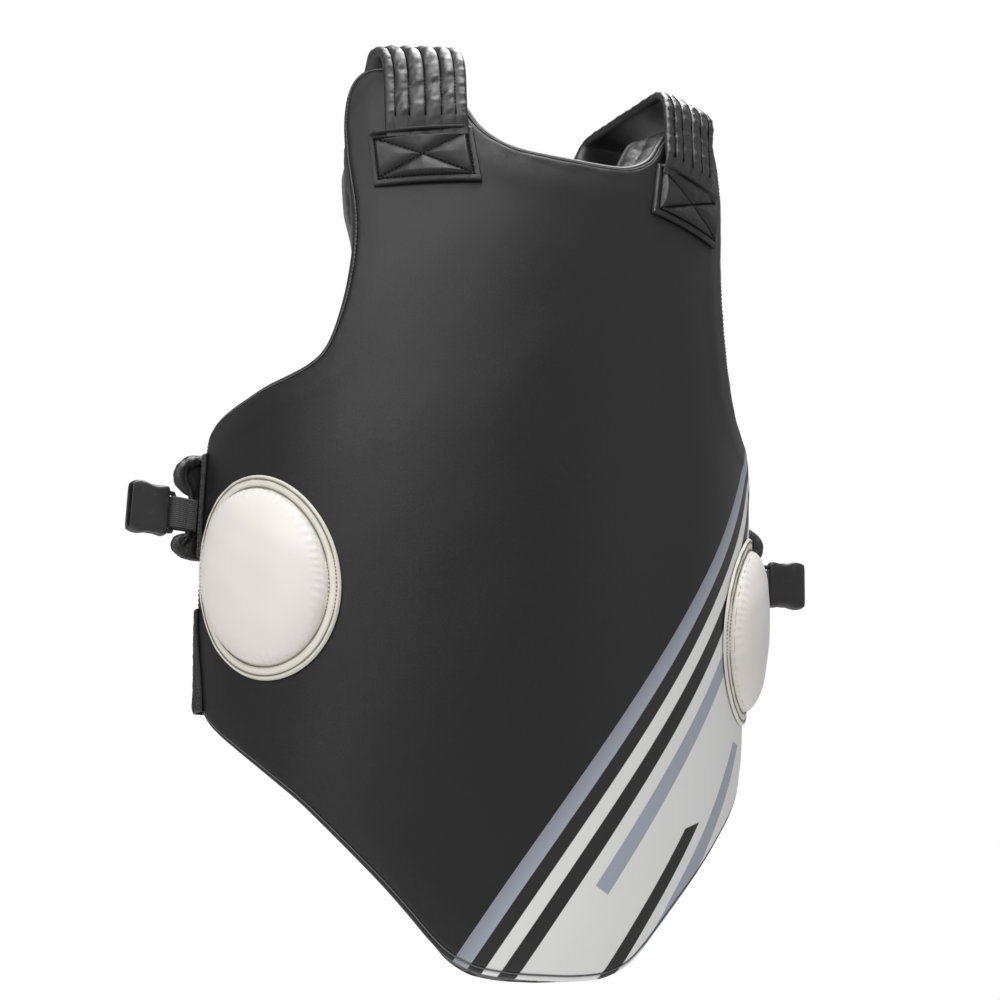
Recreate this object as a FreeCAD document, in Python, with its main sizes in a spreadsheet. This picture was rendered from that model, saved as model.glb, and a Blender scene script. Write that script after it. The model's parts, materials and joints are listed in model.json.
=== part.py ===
import FreeCAD, Part
import math
import os
import Sketcher
from FreeCAD import Vector as V

# Trainer belly pad: a curved, foam-filled body shield worn on the front, with two shoulder
# straps, a back yoke with two clip tails, a socket half of a buckle on each side and a waist band.
# Frame: origin on the shoulder line under the crest of the straps, +Z up, the front faces -Y.

DIMS = {
    "barrel_radius": 238.0,      # front cover, horizontal radius at the belly
    "barrel_arc": 2500.0,        # upright curvature of the front
    "belly_height": 382.0,       # where the radius is largest, above the bottom tip
    "shoulder_height": 698.0,    # bottom tip up to the underside of the strap crest
    "axis_back": 180.0,          # axis of the barrel, behind the shoulder line
    "half_width": 322.0,         # flat half width, along the curved front
    "armhole_flare": 30.0,       # the lining reaches this much farther round the armholes
    "cover_wall": 2.0,           # leather of cover, lining and edge
    "impact_foam_wall": 24.0,
    "comfort_foam_wall": 22.0,
    "target_radius": 75.0,
    "target_offset": 241.0,      # target centre, along the curved front from the middle
    "target_height": 282.0,
    "target_rise": 16.0,
    "target_rim": 11.0,
    "patch_width": 86.0,
    "patch_height": 45.0,
    "patch_wall": 5.0,
    "patch_offset": 119.0,
    "patch_base": 580.0,
    "strap_width": 64.0,
    "strap_wall": 9.0,
    "strap_end_x": 98.0,
    "strap_run": 100.0,          # from the crest back to the fold
    "strap_rise": 44.0,          # straight run on the front, above the patch
    "strap_lean": 4.0,           # outwards, over that run and again over the crest
    "back_strap_wall": 7.0,
    "running_gap": 0.3,
    "yoke_height": 120.0,
    "yoke_half_width": 84.0,
    "yoke_wall": 4.0,
    "tail_spacing": 52.0,        # each tail from the middle
    "tail_length": 95.0,
    "webbing_width": 25.0,
    "webbing_wall": 1.8,
    "buckle_width": 39.0,
    "buckle_wall": 12.0,
    "socket_length": 36.0,
    "bar_radius": 2.0,
    "bar_diameter": 3.0,
    "plug_wall": 4.0,
    "prong_root": 2.4,
    "tab_height": 82.0,
    "tab_base": 308.0,
    "tab_reach": 20.0,           # gathered corners of the tab, outwards from the edge
    "buckle_drop": 8.0,          # the buckle hangs this far below the middle of its tab
    "tab_wall": 5.0,
    "low_tab_base": 189.0,
    "low_tab_height": 79.0,
    "band_height": 74.0,
    "band_wall": 2.5,
    "hem_radius": 2.2,
    "band_bow": 75.0,            # how far the slack waist band bows back
    "velcro_wall": 1.5,
    "velcro_half": 34.0,
}

# Flat outline of one half, (share of the half width, height above the bottom tip).
OUTLINE = [
    (0.000, 0), (0.070, 0.3), (0.135, 2), (0.185, 5), (0.245, 13), (0.290, 24), (0.345, 41),
    (0.405, 59), (0.470, 77), (0.545, 97), (0.620, 116), (0.690, 131), (0.760, 145), (0.830, 158),
    (0.900, 171), (0.955, 184), (0.985, 200), (0.997, 222), (1.000, 250), (1.000, 285),
    (1.000, 320), (1.000, 355), (0.999, 385), (0.988, 403), (0.950, 414), (0.895, 420),
    (0.830, 425), (0.760, 431), (0.690, 436), (0.640, 441), (0.600, 449), (0.573, 462),
    (0.556, 480), (0.545, 502), (0.540, 530), (0.544, 556), (0.556, 580), (0.575, 606),
    (0.592, 630), (0.602, 650), (0.603, 665), (0.593, 677), (0.568, 685), (0.528, 688),
    (0.482, 686), (0.432, 681), (0.380, 675), (0.330, 667), (0.300, 658), (0.272, 647),
    (0.240, 633), (0.200, 623), (0.150, 616), (0.085, 613), (0.000, 612),
]

doc = FreeCAD.newDocument("trainer_belly_pad")
sheet = doc.addObject("Spreadsheet::Sheet", "Dimensions")
for row, (alias, value) in enumerate(DIMS.items(), start=1):
    sheet.set("A%d" % row, alias)
    sheet.set("B%d" % row, str(value))
    sheet.setAlias("B%d" % row, alias)
doc.recompute()
D = {alias: float(sheet.get(alias)) for alias in DIMS}

NODES = []
PLUS_X = V(1, 0, 0)
PLUS_Y = V(0, 1, 0)
PLUS_Z = V(0, 0, 1)
SECTORS_INNER = 32.0             # nearest plane of the radial cutter, before the axis
SECTORS_OUTER = 262.0            # farthest plane of the radial cutter
SECTOR_ANGLE = 88.0              # each side of the middle
PLAY = D["running_gap"]
DEPTH = 2 * D["cover_wall"] + D["impact_foam_wall"] + D["comfort_foam_wall"]
SIDE_ANGLE = D["half_width"] / D["barrel_radius"]


def level(height):
    """Row height of a point given by its height above the bottom tip."""
    return height - D["shoulder_height"]


def radius_at(height):
    """Radius of the front cover at a height above the bottom tip."""
    rise = height - D["belly_height"]
    return D["barrel_radius"] - D["barrel_arc"] + math.sqrt(D["barrel_arc"] ** 2 - rise ** 2)


def on_front(arc, height, lift=0.0):
    """Point on the front, from its flat position and its distance off the cover."""
    angle = arc / D["barrel_radius"]
    reach = radius_at(height) + lift
    return V(reach * math.sin(angle), D["axis_back"] - reach * math.cos(angle), level(height))


def keep(obj, label):
    """Name a finished sub-part."""
    obj.Label = label
    NODES.append(obj)
    return obj


def solid_feature(label, shape):
    """Hold a shape made by Part functions as a sub-part."""
    obj = doc.addObject("Part::Feature", label)
    obj.Shape = shape
    return keep(obj, label)


def mirrored(source, label):
    """The left-hand copy of a right-hand sub-part."""
    obj = doc.addObject("Part::Mirroring", label)
    obj.Source = source
    obj.Normal = PLUS_X
    obj.Base = V(0, 0, 0)
    return keep(obj, label)


def polygon_sketch(body, name, plane, points):
    """Closed sketch of straight lines on one origin plane of a body."""
    sketch = body.newObject("Sketcher::SketchObject", name)
    origin = [f for f in body.Origin.OriginFeatures if f.Role == plane][0]
    sketch.AttachmentSupport = [(origin, "")]
    sketch.MapMode = "FlatFace"
    count = len(points)
    for i in range(count):
        start = V(points[i][0], points[i][1], 0)
        end = V(points[(i + 1) % count][0], points[(i + 1) % count][1], 0)
        sketch.addGeometry(Part.LineSegment(start, end), False)
    for i in range(count):
        sketch.addConstraint(Sketcher.Constraint("Coincident", i, 2, (i + 1) % count, 1))
    return sketch


def plate(label, plane, points, size, place=None):
    """Body with one polygon padded to both sides of its plane; size is a cell of the sheet."""
    body = doc.addObject("PartDesign::Body", label)
    sketch = polygon_sketch(body, label + "_outline", plane, points)
    pad = body.newObject("PartDesign::Pad", label + "_pad")
    pad.Profile = sketch
    pad.Midplane = True
    pad.setExpression("Length", "Dimensions." + size)
    if place is not None:
        body.Placement = place
    doc.recompute()
    return body


def barrel(inner, outer):
    """Front sector of the barrel between two depths off the front cover (negative is inwards)."""
    low, high = -30.0, D["shoulder_height"] + 40.0
    rim = []
    for lift in (inner, outer):
        span = [V(radius_at(z) + lift, 0, level(z)) for z in (low, (low + high) / 2, high)]
        rim.append((Part.Arc(*span).toShape(), span))
    (inside, a), (outside, b) = rim
    profile = Part.Wire([inside, Part.makeLine(a[2], b[2]), outside, Part.makeLine(b[0], a[0])])
    face = Part.Face(profile)
    face.rotate(V(0, 0, 0), PLUS_Z, -90.0 - SECTOR_ANGLE)
    sector = face.revolve(V(0, 0, 0), PLUS_Z, 2 * SECTOR_ANGLE)
    sector.translate(V(0, D["axis_back"], 0))
    return sector


def outline_points(inset):
    """Flat outline moved inwards by an inset, as (arc, height) round the whole pad."""
    half = [(share * D["half_width"], height) for share, height in OUTLINE]
    left = [(-arc, height) for arc, height in reversed(half[1:-1])]
    loop = half + left
    flat = []
    count = len(loop)
    for i, (arc, height) in enumerate(loop):
        before = loop[i - 1]
        after = loop[(i + 1) % count]
        run, rise = after[0] - before[0], after[1] - before[1]
        length = math.hypot(run, rise)
        flat.append((arc - inset * rise / length, height + inset * run / length))
    return flat


def ramp(value, low, high):
    """Smooth step from 0 at low to 1 at high."""
    share = min(max((value - low) / (high - low), 0.0), 1.0)
    return share * share * (3 - 2 * share)


def flare_at(arc, height):
    """How much farther the lining reaches than the cover, along the back, round the armhole."""
    outside = ramp(abs(arc), 0.50 * D["half_width"], 0.56 * D["half_width"])
    along = ramp(height, 408.0, 470.0) * (1 - ramp(height, 610.0, 688.0))
    return math.copysign(D["armhole_flare"] * outside * along, arc)


def edge_line(arc, height, distance):
    """Sideways place, at a distance before the axis, of the line from cover edge to lining edge."""
    front = radius_at(height)
    back = front - DEPTH
    front_angle = arc / D["barrel_radius"]
    back_angle = front_angle + flare_at(arc, height) / back
    x0, d0 = front * math.sin(front_angle), front * math.cos(front_angle)
    x1, d1 = back * math.sin(back_angle), back * math.cos(back_angle)
    return x0 + (x1 - x0) * (distance - d0) / (d1 - d0)


def radial_cutter(inset):
    """Solid bounded by the lines of the edge, which trims every layer of the pad."""
    rims = []
    for distance in (SECTORS_INNER, SECTORS_OUTER):
        points = []
        for arc, height in outline_points(inset):
            x = edge_line(arc, height, distance)
            points.append(V(x, D["axis_back"] - distance, level(height)))
        rims.append(Part.makePolygon(points + points[:1]))
    return Part.makeLoft(rims, True, True)


def radial_frame(arc, height):
    """Placement on the front cover: local Z leaves the cover, local X runs along the arc."""
    angle = arc / D["barrel_radius"]
    out = V(math.sin(angle), -math.cos(angle), 0)
    along = V(math.cos(angle), math.sin(angle), 0)
    turn = FreeCAD.Rotation(along, PLUS_Z, out, "ZXY")
    return FreeCAD.Placement(on_front(arc, height), turn)


def build_pad():
    """Cover, two foams, lining and the edge gusset."""
    wall = D["cover_wall"]
    foam_back = -wall - D["impact_foam_wall"]
    lining_front = foam_back - D["comfort_foam_wall"]
    outer, inner = radial_cutter(0.0), radial_cutter(wall)
    solid_feature("front_cover", barrel(-wall, 0.0).common(outer))
    solid_feature("impact_foam", barrel(foam_back, -wall).common(inner))
    solid_feature("comfort_foam", barrel(lining_front, foam_back).common(inner))
    solid_feature("back_lining", barrel(lining_front - wall, lining_front).common(outer))
    edge = barrel(lining_front, -wall).common(outer.cut(inner))
    solid_feature("edge_gusset", edge)


def build_targets():
    """Raised round targets low on each side: sewn rim, foam dome and its cover."""
    place = radial_frame(D["target_offset"], D["target_height"])
    out = place.Rotation.multVec(PLUS_Z)
    start = place.Base - out * 60.0
    dome_radius = D["target_radius"] - D["target_rim"]
    wall = 1.6
    rim_ring = Part.makeCylinder(D["target_radius"], 90, start, out)
    rim_ring = rim_ring.cut(Part.makeCylinder(dome_radius, 90, start, out))
    rim = solid_feature("right_target_rim", barrel(0.0, wall).common(rim_ring))
    cone_base = place.Base - out * 20.0
    slope = 0.30
    height = 60.0

    def cone(shrink):
        bottom = dome_radius + slope * 12.0 - shrink
        return Part.makeCone(bottom, bottom - slope * height, height, cone_base, out)
    shell = barrel(0.0, D["target_rise"]).common(cone(0.0))
    bound = Part.makeCylinder(dome_radius, 90, start, out)
    shell = shell.common(bound)
    core = barrel(0.0, D["target_rise"] - wall).common(cone(wall)).common(bound)
    core = core.common(Part.makeCylinder(dome_radius - wall, 90, start, out))
    foam = solid_feature("right_target_foam", core)
    cover = solid_feature("right_target_cover", shell.cut(core))
    for part, name in ((rim, "rim"), (foam, "foam"), (cover, "cover")):
        mirrored(part, "left_target_" + name)


def build_patches():
    """Sewn leather patches that hold the front ends of the shoulder straps."""
    place = radial_frame(D["patch_offset"], D["patch_base"] + D["patch_height"] / 2)
    block = Part.makeBox(D["patch_width"], D["patch_height"], 60.0,
                         V(-D["patch_width"] / 2, -D["patch_height"] / 2, -30.0))
    block.rotate(V(0, 0, 0), PLUS_Z, 3.0)
    block.Placement = place.multiply(block.Placement)
    patch = solid_feature("right_strap_patch", barrel(0.0, D["patch_wall"]).common(block))
    mirrored(patch, "left_strap_patch")


def strap_stations():
    """Middle line of a front strap with its width direction, from the patch to the fold."""
    half_wall = D["strap_wall"] / 2
    lift = PLAY + half_wall
    arc = D["patch_offset"]
    angle = arc / D["barrel_radius"]
    patch_top = D["patch_base"] + D["patch_height"] + 2.6
    stations = []
    for share in (0.0, 0.5, 1.0):
        height = patch_top + share * D["strap_rise"]
        stations.append((on_front(arc + share * D["strap_lean"], height, lift), angle, V(0, 0, 1)))
    front = stations[-1][0]
    bend = half_wall - front.z
    end = fold_point() - V(0, half_wall + PLAY, 0)
    crest = V(front.x + D["strap_lean"], front.y + bend, half_wall)
    for share in (0.2, 0.4, 0.6, 0.8):
        turn = share * math.pi / 2
        point = V(front.x + share * D["strap_lean"], front.y + bend * (1 - math.cos(turn)),
                  front.z + bend * math.sin(turn))
        stations.append((point, angle * (1 - 0.3 * share), V(0, math.sin(turn), math.cos(turn))))
    back = (end - crest).normalize()
    for share in (0.0, 0.25, 0.5, 0.75, 1.0):
        stations.append((crest + (end - crest) * share, angle * 0.7 * (1 - share), back))
    return stations


def fold_point():
    """Where each strap folds down behind the shoulder; the harness swings about this line."""
    return V(D["strap_end_x"], D["strap_run"], D["strap_wall"] / 2 - 1.5)


def build_front_straps():
    """Padded straps from the patches over the shoulders to the fold."""
    half_width, half_wall = D["strap_width"] / 2, D["strap_wall"] / 2
    sections = []
    for centre, angle, path in strap_stations():
        across = V(math.cos(angle), math.sin(angle), 0)
        normal = path.cross(across).normalize()
        corners = []
        for u, w in ((-1, -1), (1, -1), (1, 1), (-1, 1), (-1, -1)):
            corners.append(centre + across * (u * half_width) + normal * (w * half_wall))
        sections.append(Part.makePolygon(corners))
    strap = Part.makeLoft(sections, True, True)
    fold = fold_point()
    knuckle = Part.makeCylinder(half_wall + PLAY, D["strap_width"] * 2,
                                fold - PLUS_X * D["strap_width"], PLUS_X)
    strap = strap.cut(knuckle)
    right = solid_feature("right_front_strap", strap)
    mirrored(right, "left_front_strap")


def build_harness():
    """Back straps that hang from the fold and the yoke that joins them."""
    fold = fold_point()
    strap_bottom = fold.z - 118.0
    shoulder, waist = D["strap_end_x"], D["strap_end_x"] - 44.0
    half = D["strap_width"] / 2
    place = FreeCAD.Placement(V(0, fold.y, 0), FreeCAD.Rotation())
    points = [(shoulder - half, fold.z), (waist - half, strap_bottom),
              (waist + half, strap_bottom), (shoulder + half, fold.z)]
    slab = plate("right_back_slab", "XZ_Plane", points, "back_strap_wall", place)
    roll = doc.addObject("Part::Cylinder", "right_fold_roll")
    roll.Radius = D["strap_wall"] / 2
    roll.Height = D["strap_width"]
    roll.Placement = FreeCAD.Placement(fold - PLUS_X * half, FreeCAD.Rotation(PLUS_Y, 90))
    strap = doc.addObject("Part::Fuse", "right_back_strap")
    strap.Base, strap.Tool = slab, roll
    keep(strap, "right_back_strap")
    doc.recompute()
    mirrored(strap, "left_back_strap")
    top, bottom = strap_bottom, strap_bottom - D["yoke_height"]
    wide, narrow = D["yoke_half_width"] + 2.0, D["tail_spacing"] + 22.0
    outline = [(-wide, top), (-narrow, bottom), (narrow, bottom), (wide, top)]
    for name, side in (("yoke_outer", 1), ("yoke_padding", -1)):
        shift = V(0, fold.y + side * D["yoke_wall"] / 2, 0)
        keep(plate(name, "XZ_Plane", outline, "yoke_wall", FreeCAD.Placement(shift, FreeCAD.Rotation())),
             name)
    return V(D["tail_spacing"], fold.y, bottom)


def build_tail(anchor):
    """Webbing tail below the yoke with its slider, plug half and two squeeze prongs."""
    width, wall = D["webbing_width"], D["webbing_wall"]
    half = width / 2
    hinge = anchor - PLUS_Z * (D["bar_radius"] + 1.0)
    length = D["tail_length"]
    place = FreeCAD.Placement(hinge, FreeCAD.Rotation())
    eye_inner = D["bar_radius"] + PLAY
    eye_outer = eye_inner + wall
    eye_drop = length + eye_inner
    strip = plate("right_tail_strip", "XZ_Plane",
                  [(-half, 0), (-half, -length), (half, -length), (half, 0)], "webbing_wall", place)
    across = FreeCAD.Rotation(PLUS_Y, 90)
    hem = round_bar("right_tail_hem", D["bar_radius"], width, hinge - PLUS_X * half, across)
    eye = round_bar("right_tail_eye", eye_outer, width, hinge - V(half, 0, eye_drop), across)
    hole = round_bar("right_tail_hole", eye_inner, width + 2, hinge - V(half + 1, 0, eye_drop), across)
    body = doc.addObject("Part::MultiFuse", "right_tail_body")
    body.Shapes = [strip, hem, eye]
    tail = doc.addObject("Part::Cut", "right_tail")
    tail.Base, tail.Tool = body, hole
    keep(tail, "right_tail")
    doc.recompute()
    mirrored(tail, "left_tail")

    outer_half, slot_half = half + 4.0, half + 1.0
    slot_gap = wall / 2 + PLAY
    slide = doc.addObject("PartDesign::Body", "right_slider")
    frame = polygon_sketch(slide, "slider_outline", "XZ_Plane",
                           [(-outer_half, -9), (outer_half, -9), (outer_half, 9), (-outer_half, 9)])
    pad = slide.newObject("PartDesign::Pad", "slider_pad")
    pad.Profile = frame
    pad.Midplane = True
    pad.Length = 5.0
    doc.recompute()
    slot = polygon_sketch(slide, "slider_slot", "XY_Plane",
                          [(-slot_half, -slot_gap), (slot_half, -slot_gap),
                           (slot_half, slot_gap), (-slot_half, slot_gap)])
    cut = slide.newObject("PartDesign::Pocket", "slider_pocket")
    cut.Profile = slot
    cut.Midplane = True
    cut.Length = 40.0
    slide.Placement = FreeCAD.Placement(hinge - PLUS_Z * 34.0, FreeCAD.Rotation())
    doc.recompute()
    keep(slide, "right_slider")
    mirrored(slide, "left_slider")

    plug_hinge = hinge - PLUS_Z * eye_drop
    build_plug(plug_hinge, half, eye_outer)
    return hinge, plug_hinge


def round_bar(name, radius, length, start, turn):
    """Helper cylinder from a start point."""
    bar = doc.addObject("Part::Cylinder", name)
    bar.Radius = radius
    bar.Height = length
    bar.Placement = FreeCAD.Placement(start, turn)
    return bar


def build_plug(hinge, half, eye_outer):
    """Plug half of the buckle: frame round the webbing eye, tongue and two squeeze prongs."""
    wide = D["buckle_width"] / 2 - 2.5
    arm = half + 1.2
    shelf = -(eye_outer + 1.0)
    foot = shelf - 8.0
    root_radius = D["prong_root"]
    root_x, root_z = wide - root_radius - 0.6, foot - root_radius * 0.4
    outline = [(-wide, 2.0), (-arm, 2.0), (-arm, shelf), (arm, shelf), (arm, 2.0), (wide, 2.0),
               (wide, foot), (4.0, foot), (4.0, foot - 20.0), (-4.0, foot - 20.0), (-4.0, foot),
               (-wide, foot)]
    place = FreeCAD.Placement(hinge, FreeCAD.Rotation())
    frame = plate("right_plug_frame", "XZ_Plane", outline, "plug_wall", place)
    bar = round_bar("right_plug_bar", D["bar_radius"], 2 * arm + 2.0, hinge - PLUS_X * (arm + 1.0),
                    FreeCAD.Rotation(PLUS_Y, 90))
    joined = doc.addObject("Part::Fuse", "right_plug_joined")
    joined.Base, joined.Tool = frame, bar
    thick = D["plug_wall"]
    seats = []
    for side, name in ((1, "outer"), (-1, "inner")):
        root = hinge + V(side * root_x, thick, root_z)
        turn = FreeCAD.Rotation(PLUS_X, 90)
        seats.append(round_bar("right_seat_" + name, root_radius + PLAY, 2 * thick, root, turn))
    both = doc.addObject("Part::MultiFuse", "right_seats")
    both.Shapes = seats
    plug = doc.addObject("Part::Cut", "right_plug")
    plug.Base, plug.Tool = joined, both
    keep(plug, "right_plug")
    doc.recompute()
    mirrored(plug, "left_plug")
    for side, name in ((1, "outer"), (-1, "inner")):
        x, z = side * root_x, foot - PLAY
        points = [(x - side * 1.4, z), (x + side * 1.4, z), (x + side * 1.6, z - 11.0),
                  (x + side * 3.6, z - 12.0), (x - side * 0.5, z - 20.0), (x - side * 3.4, z - 18.0)]
        arm_body = plate("right_prong_arm_" + name, "XZ_Plane", points, "bar_diameter", place)
        seat = round_bar("right_root_" + name, root_radius, D["bar_diameter"],
                         hinge + V(x, D["bar_diameter"] / 2, root_z), FreeCAD.Rotation(PLUS_X, 90))
        prong = doc.addObject("Part::Fuse", "right_prong_" + name)
        prong.Base, prong.Tool = arm_body, seat
        keep(prong, "right_prong_" + name)
        doc.recompute()
        mirrored(prong, "left_prong_" + name)
        print("prong_%s %.3f %.3f %.3f" % (name, hinge.x + x, hinge.y, hinge.z + root_z))


def side_place(height, reach, off=0.0):
    """Placement at the right side edge: local X leaves the pad, local Y leaves the edge face."""
    out = V(math.sin(SIDE_ANGLE), -math.cos(SIDE_ANGLE), 0)
    away = V(math.cos(SIDE_ANGLE), math.sin(SIDE_ANGLE), 0)
    base = V(0, D["axis_back"], level(height)) + out * (radius_at(height) + reach) + away * off
    return FreeCAD.Placement(base, FreeCAD.Rotation(out, away, PLUS_Z, "XYZ"))


def build_side_tabs():
    """Leather tabs on each side edge, the webbing loop and the socket half of the buckle."""
    sew = D["tab_wall"] / 2 + 0.1
    upper = D["tab_height"] / 2
    middle = D["tab_base"] + upper
    reach = D["tab_reach"]
    drop = D["buckle_drop"]
    room = D["webbing_width"] / 2 + 4.5
    points = [(-42, -upper + 4), (-42, upper - 4), (-2, upper), (reach - 6, upper - 7),
              (reach, upper - 16), (reach - 6, room - drop + 5), (8, room - drop + 1),
              (8, -room - drop), (reach - 5, -room - drop - 2), (reach, -upper + 10),
              (reach - 5, -upper + 3), (-2, -upper)]
    tab = keep(plate("right_side_tab", "XY_Plane", points, "tab_wall",
                     flat(side_place(middle, 0.0, sew))), "right_side_tab")
    mirrored(tab, "left_side_tab")
    low_half = D["low_tab_height"] / 2
    low_middle = D["low_tab_base"] + low_half
    points = [(-42, -low_half), (-42, low_half), (-2, low_half), (0, low_half - 4),
              (0, -low_half + 4), (-2, -low_half)]
    low = keep(plate("right_lower_tab", "XY_Plane", points, "tab_wall",
                     flat(side_place(low_middle, 0.0, sew))), "right_lower_tab")
    mirrored(low, "left_lower_tab")

    half = D["webbing_width"] / 2
    bar_reach = 20.0
    centre = side_place(middle, 0.0, sew).multiply(FreeCAD.Placement(V(0, 0, -drop),
                                                                     FreeCAD.Rotation()))
    wall = D["webbing_wall"]
    inner = D["bar_radius"] + PLAY
    strip = Part.makeBox(bar_reach - 8.0 - inner, 2 * inner, 2 * half, V(8.0, -inner, -half))
    eye = Part.makeCylinder(inner + wall, 2 * half, V(bar_reach, 0, -half), PLUS_Z)
    loop = strip.fuse(eye)
    loop = loop.cut(Part.makeCylinder(inner, 2 * half + 2, V(bar_reach, 0, -half - 1), PLUS_Z))
    loop.Placement = centre
    webbing = solid_feature("right_webbing_loop", loop)
    mirrored(webbing, "left_webbing_loop")

    wide, thick = D["buckle_width"] / 2, D["buckle_wall"] / 2
    length = D["socket_length"]
    eye_room = inner + wall + PLAY
    body_start = bar_reach + eye_room + 1.0
    body_end = bar_reach + length
    shell = Part.makeBox(body_end - body_start, 2 * thick, 2 * wide, V(body_start, -thick, -wide))
    mouth = Part.makeBox(body_end - body_start - 3.0, 2 * thick - 4.4, 2 * wide - 5.0,
                         V(body_start + 3.0, -thick + 2.2, -wide + 2.5))
    shell = shell.cut(mouth)
    for side in (-1, 1):
        window = Part.makeBox(12.0, 2 * thick - 4.4, 6.0,
                              V(body_start + 8.0, -thick + 2.2, side * (wide - 1.0) - 3.0))
        shell = shell.cut(window)
        arm = Part.makeBox(body_start - bar_reach + 2.0, 2 * inner, 2.6,
                           V(bar_reach - 2.0, -inner, side * (half + 2.3) - 1.3))
        shell = shell.fuse(arm)
    bar = Part.makeCylinder(D["bar_radius"], 2 * half + 5.0, V(bar_reach, 0, -half - 2.5), PLUS_Z)
    shell = shell.fuse(bar).removeSplitter()
    shell.Placement = centre
    socket = solid_feature("right_socket", shell)
    mirrored(socket, "left_socket")
    return centre.multVec(V(bar_reach, 0, 0))


def flat(place):
    """Stand an XY sketch upright: its X stays outwards and its Y points up."""
    return place.multiply(FreeCAD.Placement(V(0, 0, 0), FreeCAD.Rotation(PLUS_X, 90)))


def arc_band(radius, wall, start, end, height, centre_y):
    """Upright strip along a circle between two angles measured from +X."""
    base = V(0, centre_y, level(D["low_tab_base"]) + (D["low_tab_height"] - height) / 2)
    outer = Part.makeCylinder(radius + wall, height, base, PLUS_Z, math.degrees(end - start))
    strip = outer.cut(Part.makeCylinder(radius, height, base, PLUS_Z))
    strip.rotate(V(0, centre_y, 0), PLUS_Z, math.degrees(start))
    return strip


def build_waist_band():
    """Elastic waist band in two wings that close on each other with hook and loop."""
    edge = side_place(D["low_tab_base"], -26.0, D["tab_wall"] + 4.0).Base
    bow = D["band_bow"]
    radius = (edge.x ** 2 + bow ** 2) / (2 * bow)
    centre_y = edge.y + bow - radius
    side = math.asin(edge.x / radius)
    right_end, left_end = math.pi / 2 - side, math.pi / 2 + side
    lap = D["velcro_half"] / radius
    wall, hook = D["band_wall"], D["velcro_wall"]
    height = D["band_height"]
    middle = math.pi / 2
    solid_feature("left_waist_wing", arc_band(radius, wall, middle - lap, left_end, height, centre_y))
    solid_feature("loop_panel", arc_band(radius + wall, hook, middle - lap, middle + lap,
                                         height - 8.0, centre_y))
    hook_radius = radius + wall + hook + PLAY
    solid_feature("hook_panel", arc_band(hook_radius, hook, middle - lap, middle + lap,
                                         height - 8.0, centre_y))
    wing_radius = hook_radius + hook
    hinge = V(wing_radius * math.cos(right_end), centre_y + wing_radius * math.sin(right_end), 0)
    wing = arc_band(wing_radius, wall, right_end, middle + lap, height, centre_y)
    hinge = V(hinge.x, hinge.y, level(D["low_tab_base"]) + (D["low_tab_height"] - height) / 2)
    wing = wing.fuse(Part.makeCylinder(D["hem_radius"], height, hinge, PLUS_Z))
    solid_feature("right_waist_wing", wing)
    return hinge


build_pad()
build_targets()
build_patches()
build_front_straps()
tail_anchor = build_harness()
tail_hinge, plug_hinge = build_tail(tail_anchor)
socket_hinge = build_side_tabs()
wing_hinge = build_waist_band()
doc.recompute()

os.makedirs("parts", exist_ok=True)
for item in doc.Objects:
    bad = [word for word in item.State if word in ("Invalid", "Error")]
    if bad:
        raise RuntimeError("%s is %s" % (item.Label, bad))
for node in NODES:
    if node.Shape.isNull() or not node.Shape.isValid():
        raise RuntimeError("%s has no valid shape" % node.Label)
    node.Shape.exportStep("parts/%s.step" % node.Label)
    print("%-22s solids %d volume %.0f" % (node.Label, len(node.Shape.Solids), node.Shape.Volume))
for name, point in (("tail_hinge", tail_hinge), ("plug_hinge", plug_hinge),
                    ("socket_hinge", socket_hinge), ("wing_hinge", wing_hinge),
                    ("fold", fold_point())):
    print("%s %.2f %.2f %.2f" % (name, point.x, point.y, point.z))
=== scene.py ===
"""Looks of the trainer belly pad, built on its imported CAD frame."""

import json
import logging
import math
from dataclasses import dataclass, field
from enum import Enum
from typing import Dict, List, Optional, Sequence, Tuple

import bmesh
import bpy
import numpy as np
from mathutils import Matrix, Vector

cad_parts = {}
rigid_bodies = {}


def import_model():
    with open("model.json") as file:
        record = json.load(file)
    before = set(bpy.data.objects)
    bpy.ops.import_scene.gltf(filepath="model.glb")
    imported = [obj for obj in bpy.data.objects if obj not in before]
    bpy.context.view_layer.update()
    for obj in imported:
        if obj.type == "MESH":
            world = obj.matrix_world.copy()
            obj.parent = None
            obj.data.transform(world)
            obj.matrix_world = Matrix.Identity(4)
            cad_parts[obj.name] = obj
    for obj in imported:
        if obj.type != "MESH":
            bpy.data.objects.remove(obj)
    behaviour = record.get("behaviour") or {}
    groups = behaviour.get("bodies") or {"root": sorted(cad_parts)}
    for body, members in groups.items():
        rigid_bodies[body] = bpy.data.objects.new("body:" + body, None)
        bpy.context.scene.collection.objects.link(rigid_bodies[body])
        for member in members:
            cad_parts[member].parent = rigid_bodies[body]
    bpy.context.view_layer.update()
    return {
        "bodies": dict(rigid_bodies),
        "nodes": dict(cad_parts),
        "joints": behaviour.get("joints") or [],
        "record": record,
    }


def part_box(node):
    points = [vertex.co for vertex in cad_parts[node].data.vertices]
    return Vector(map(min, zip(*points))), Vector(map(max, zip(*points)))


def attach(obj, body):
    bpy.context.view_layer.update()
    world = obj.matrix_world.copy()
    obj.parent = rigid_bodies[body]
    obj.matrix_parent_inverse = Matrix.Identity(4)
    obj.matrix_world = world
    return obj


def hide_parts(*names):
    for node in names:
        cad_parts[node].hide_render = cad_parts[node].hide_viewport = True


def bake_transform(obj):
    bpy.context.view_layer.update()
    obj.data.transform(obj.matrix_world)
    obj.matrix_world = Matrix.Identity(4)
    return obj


Array = np.ndarray
Material = bpy.types.Material
Node = bpy.types.Node
Piece = bpy.types.Object
Socket = bpy.types.NodeSocket
Triple = Tuple[float, float, float]
Seam = Tuple[Array, Array, Array]

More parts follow.
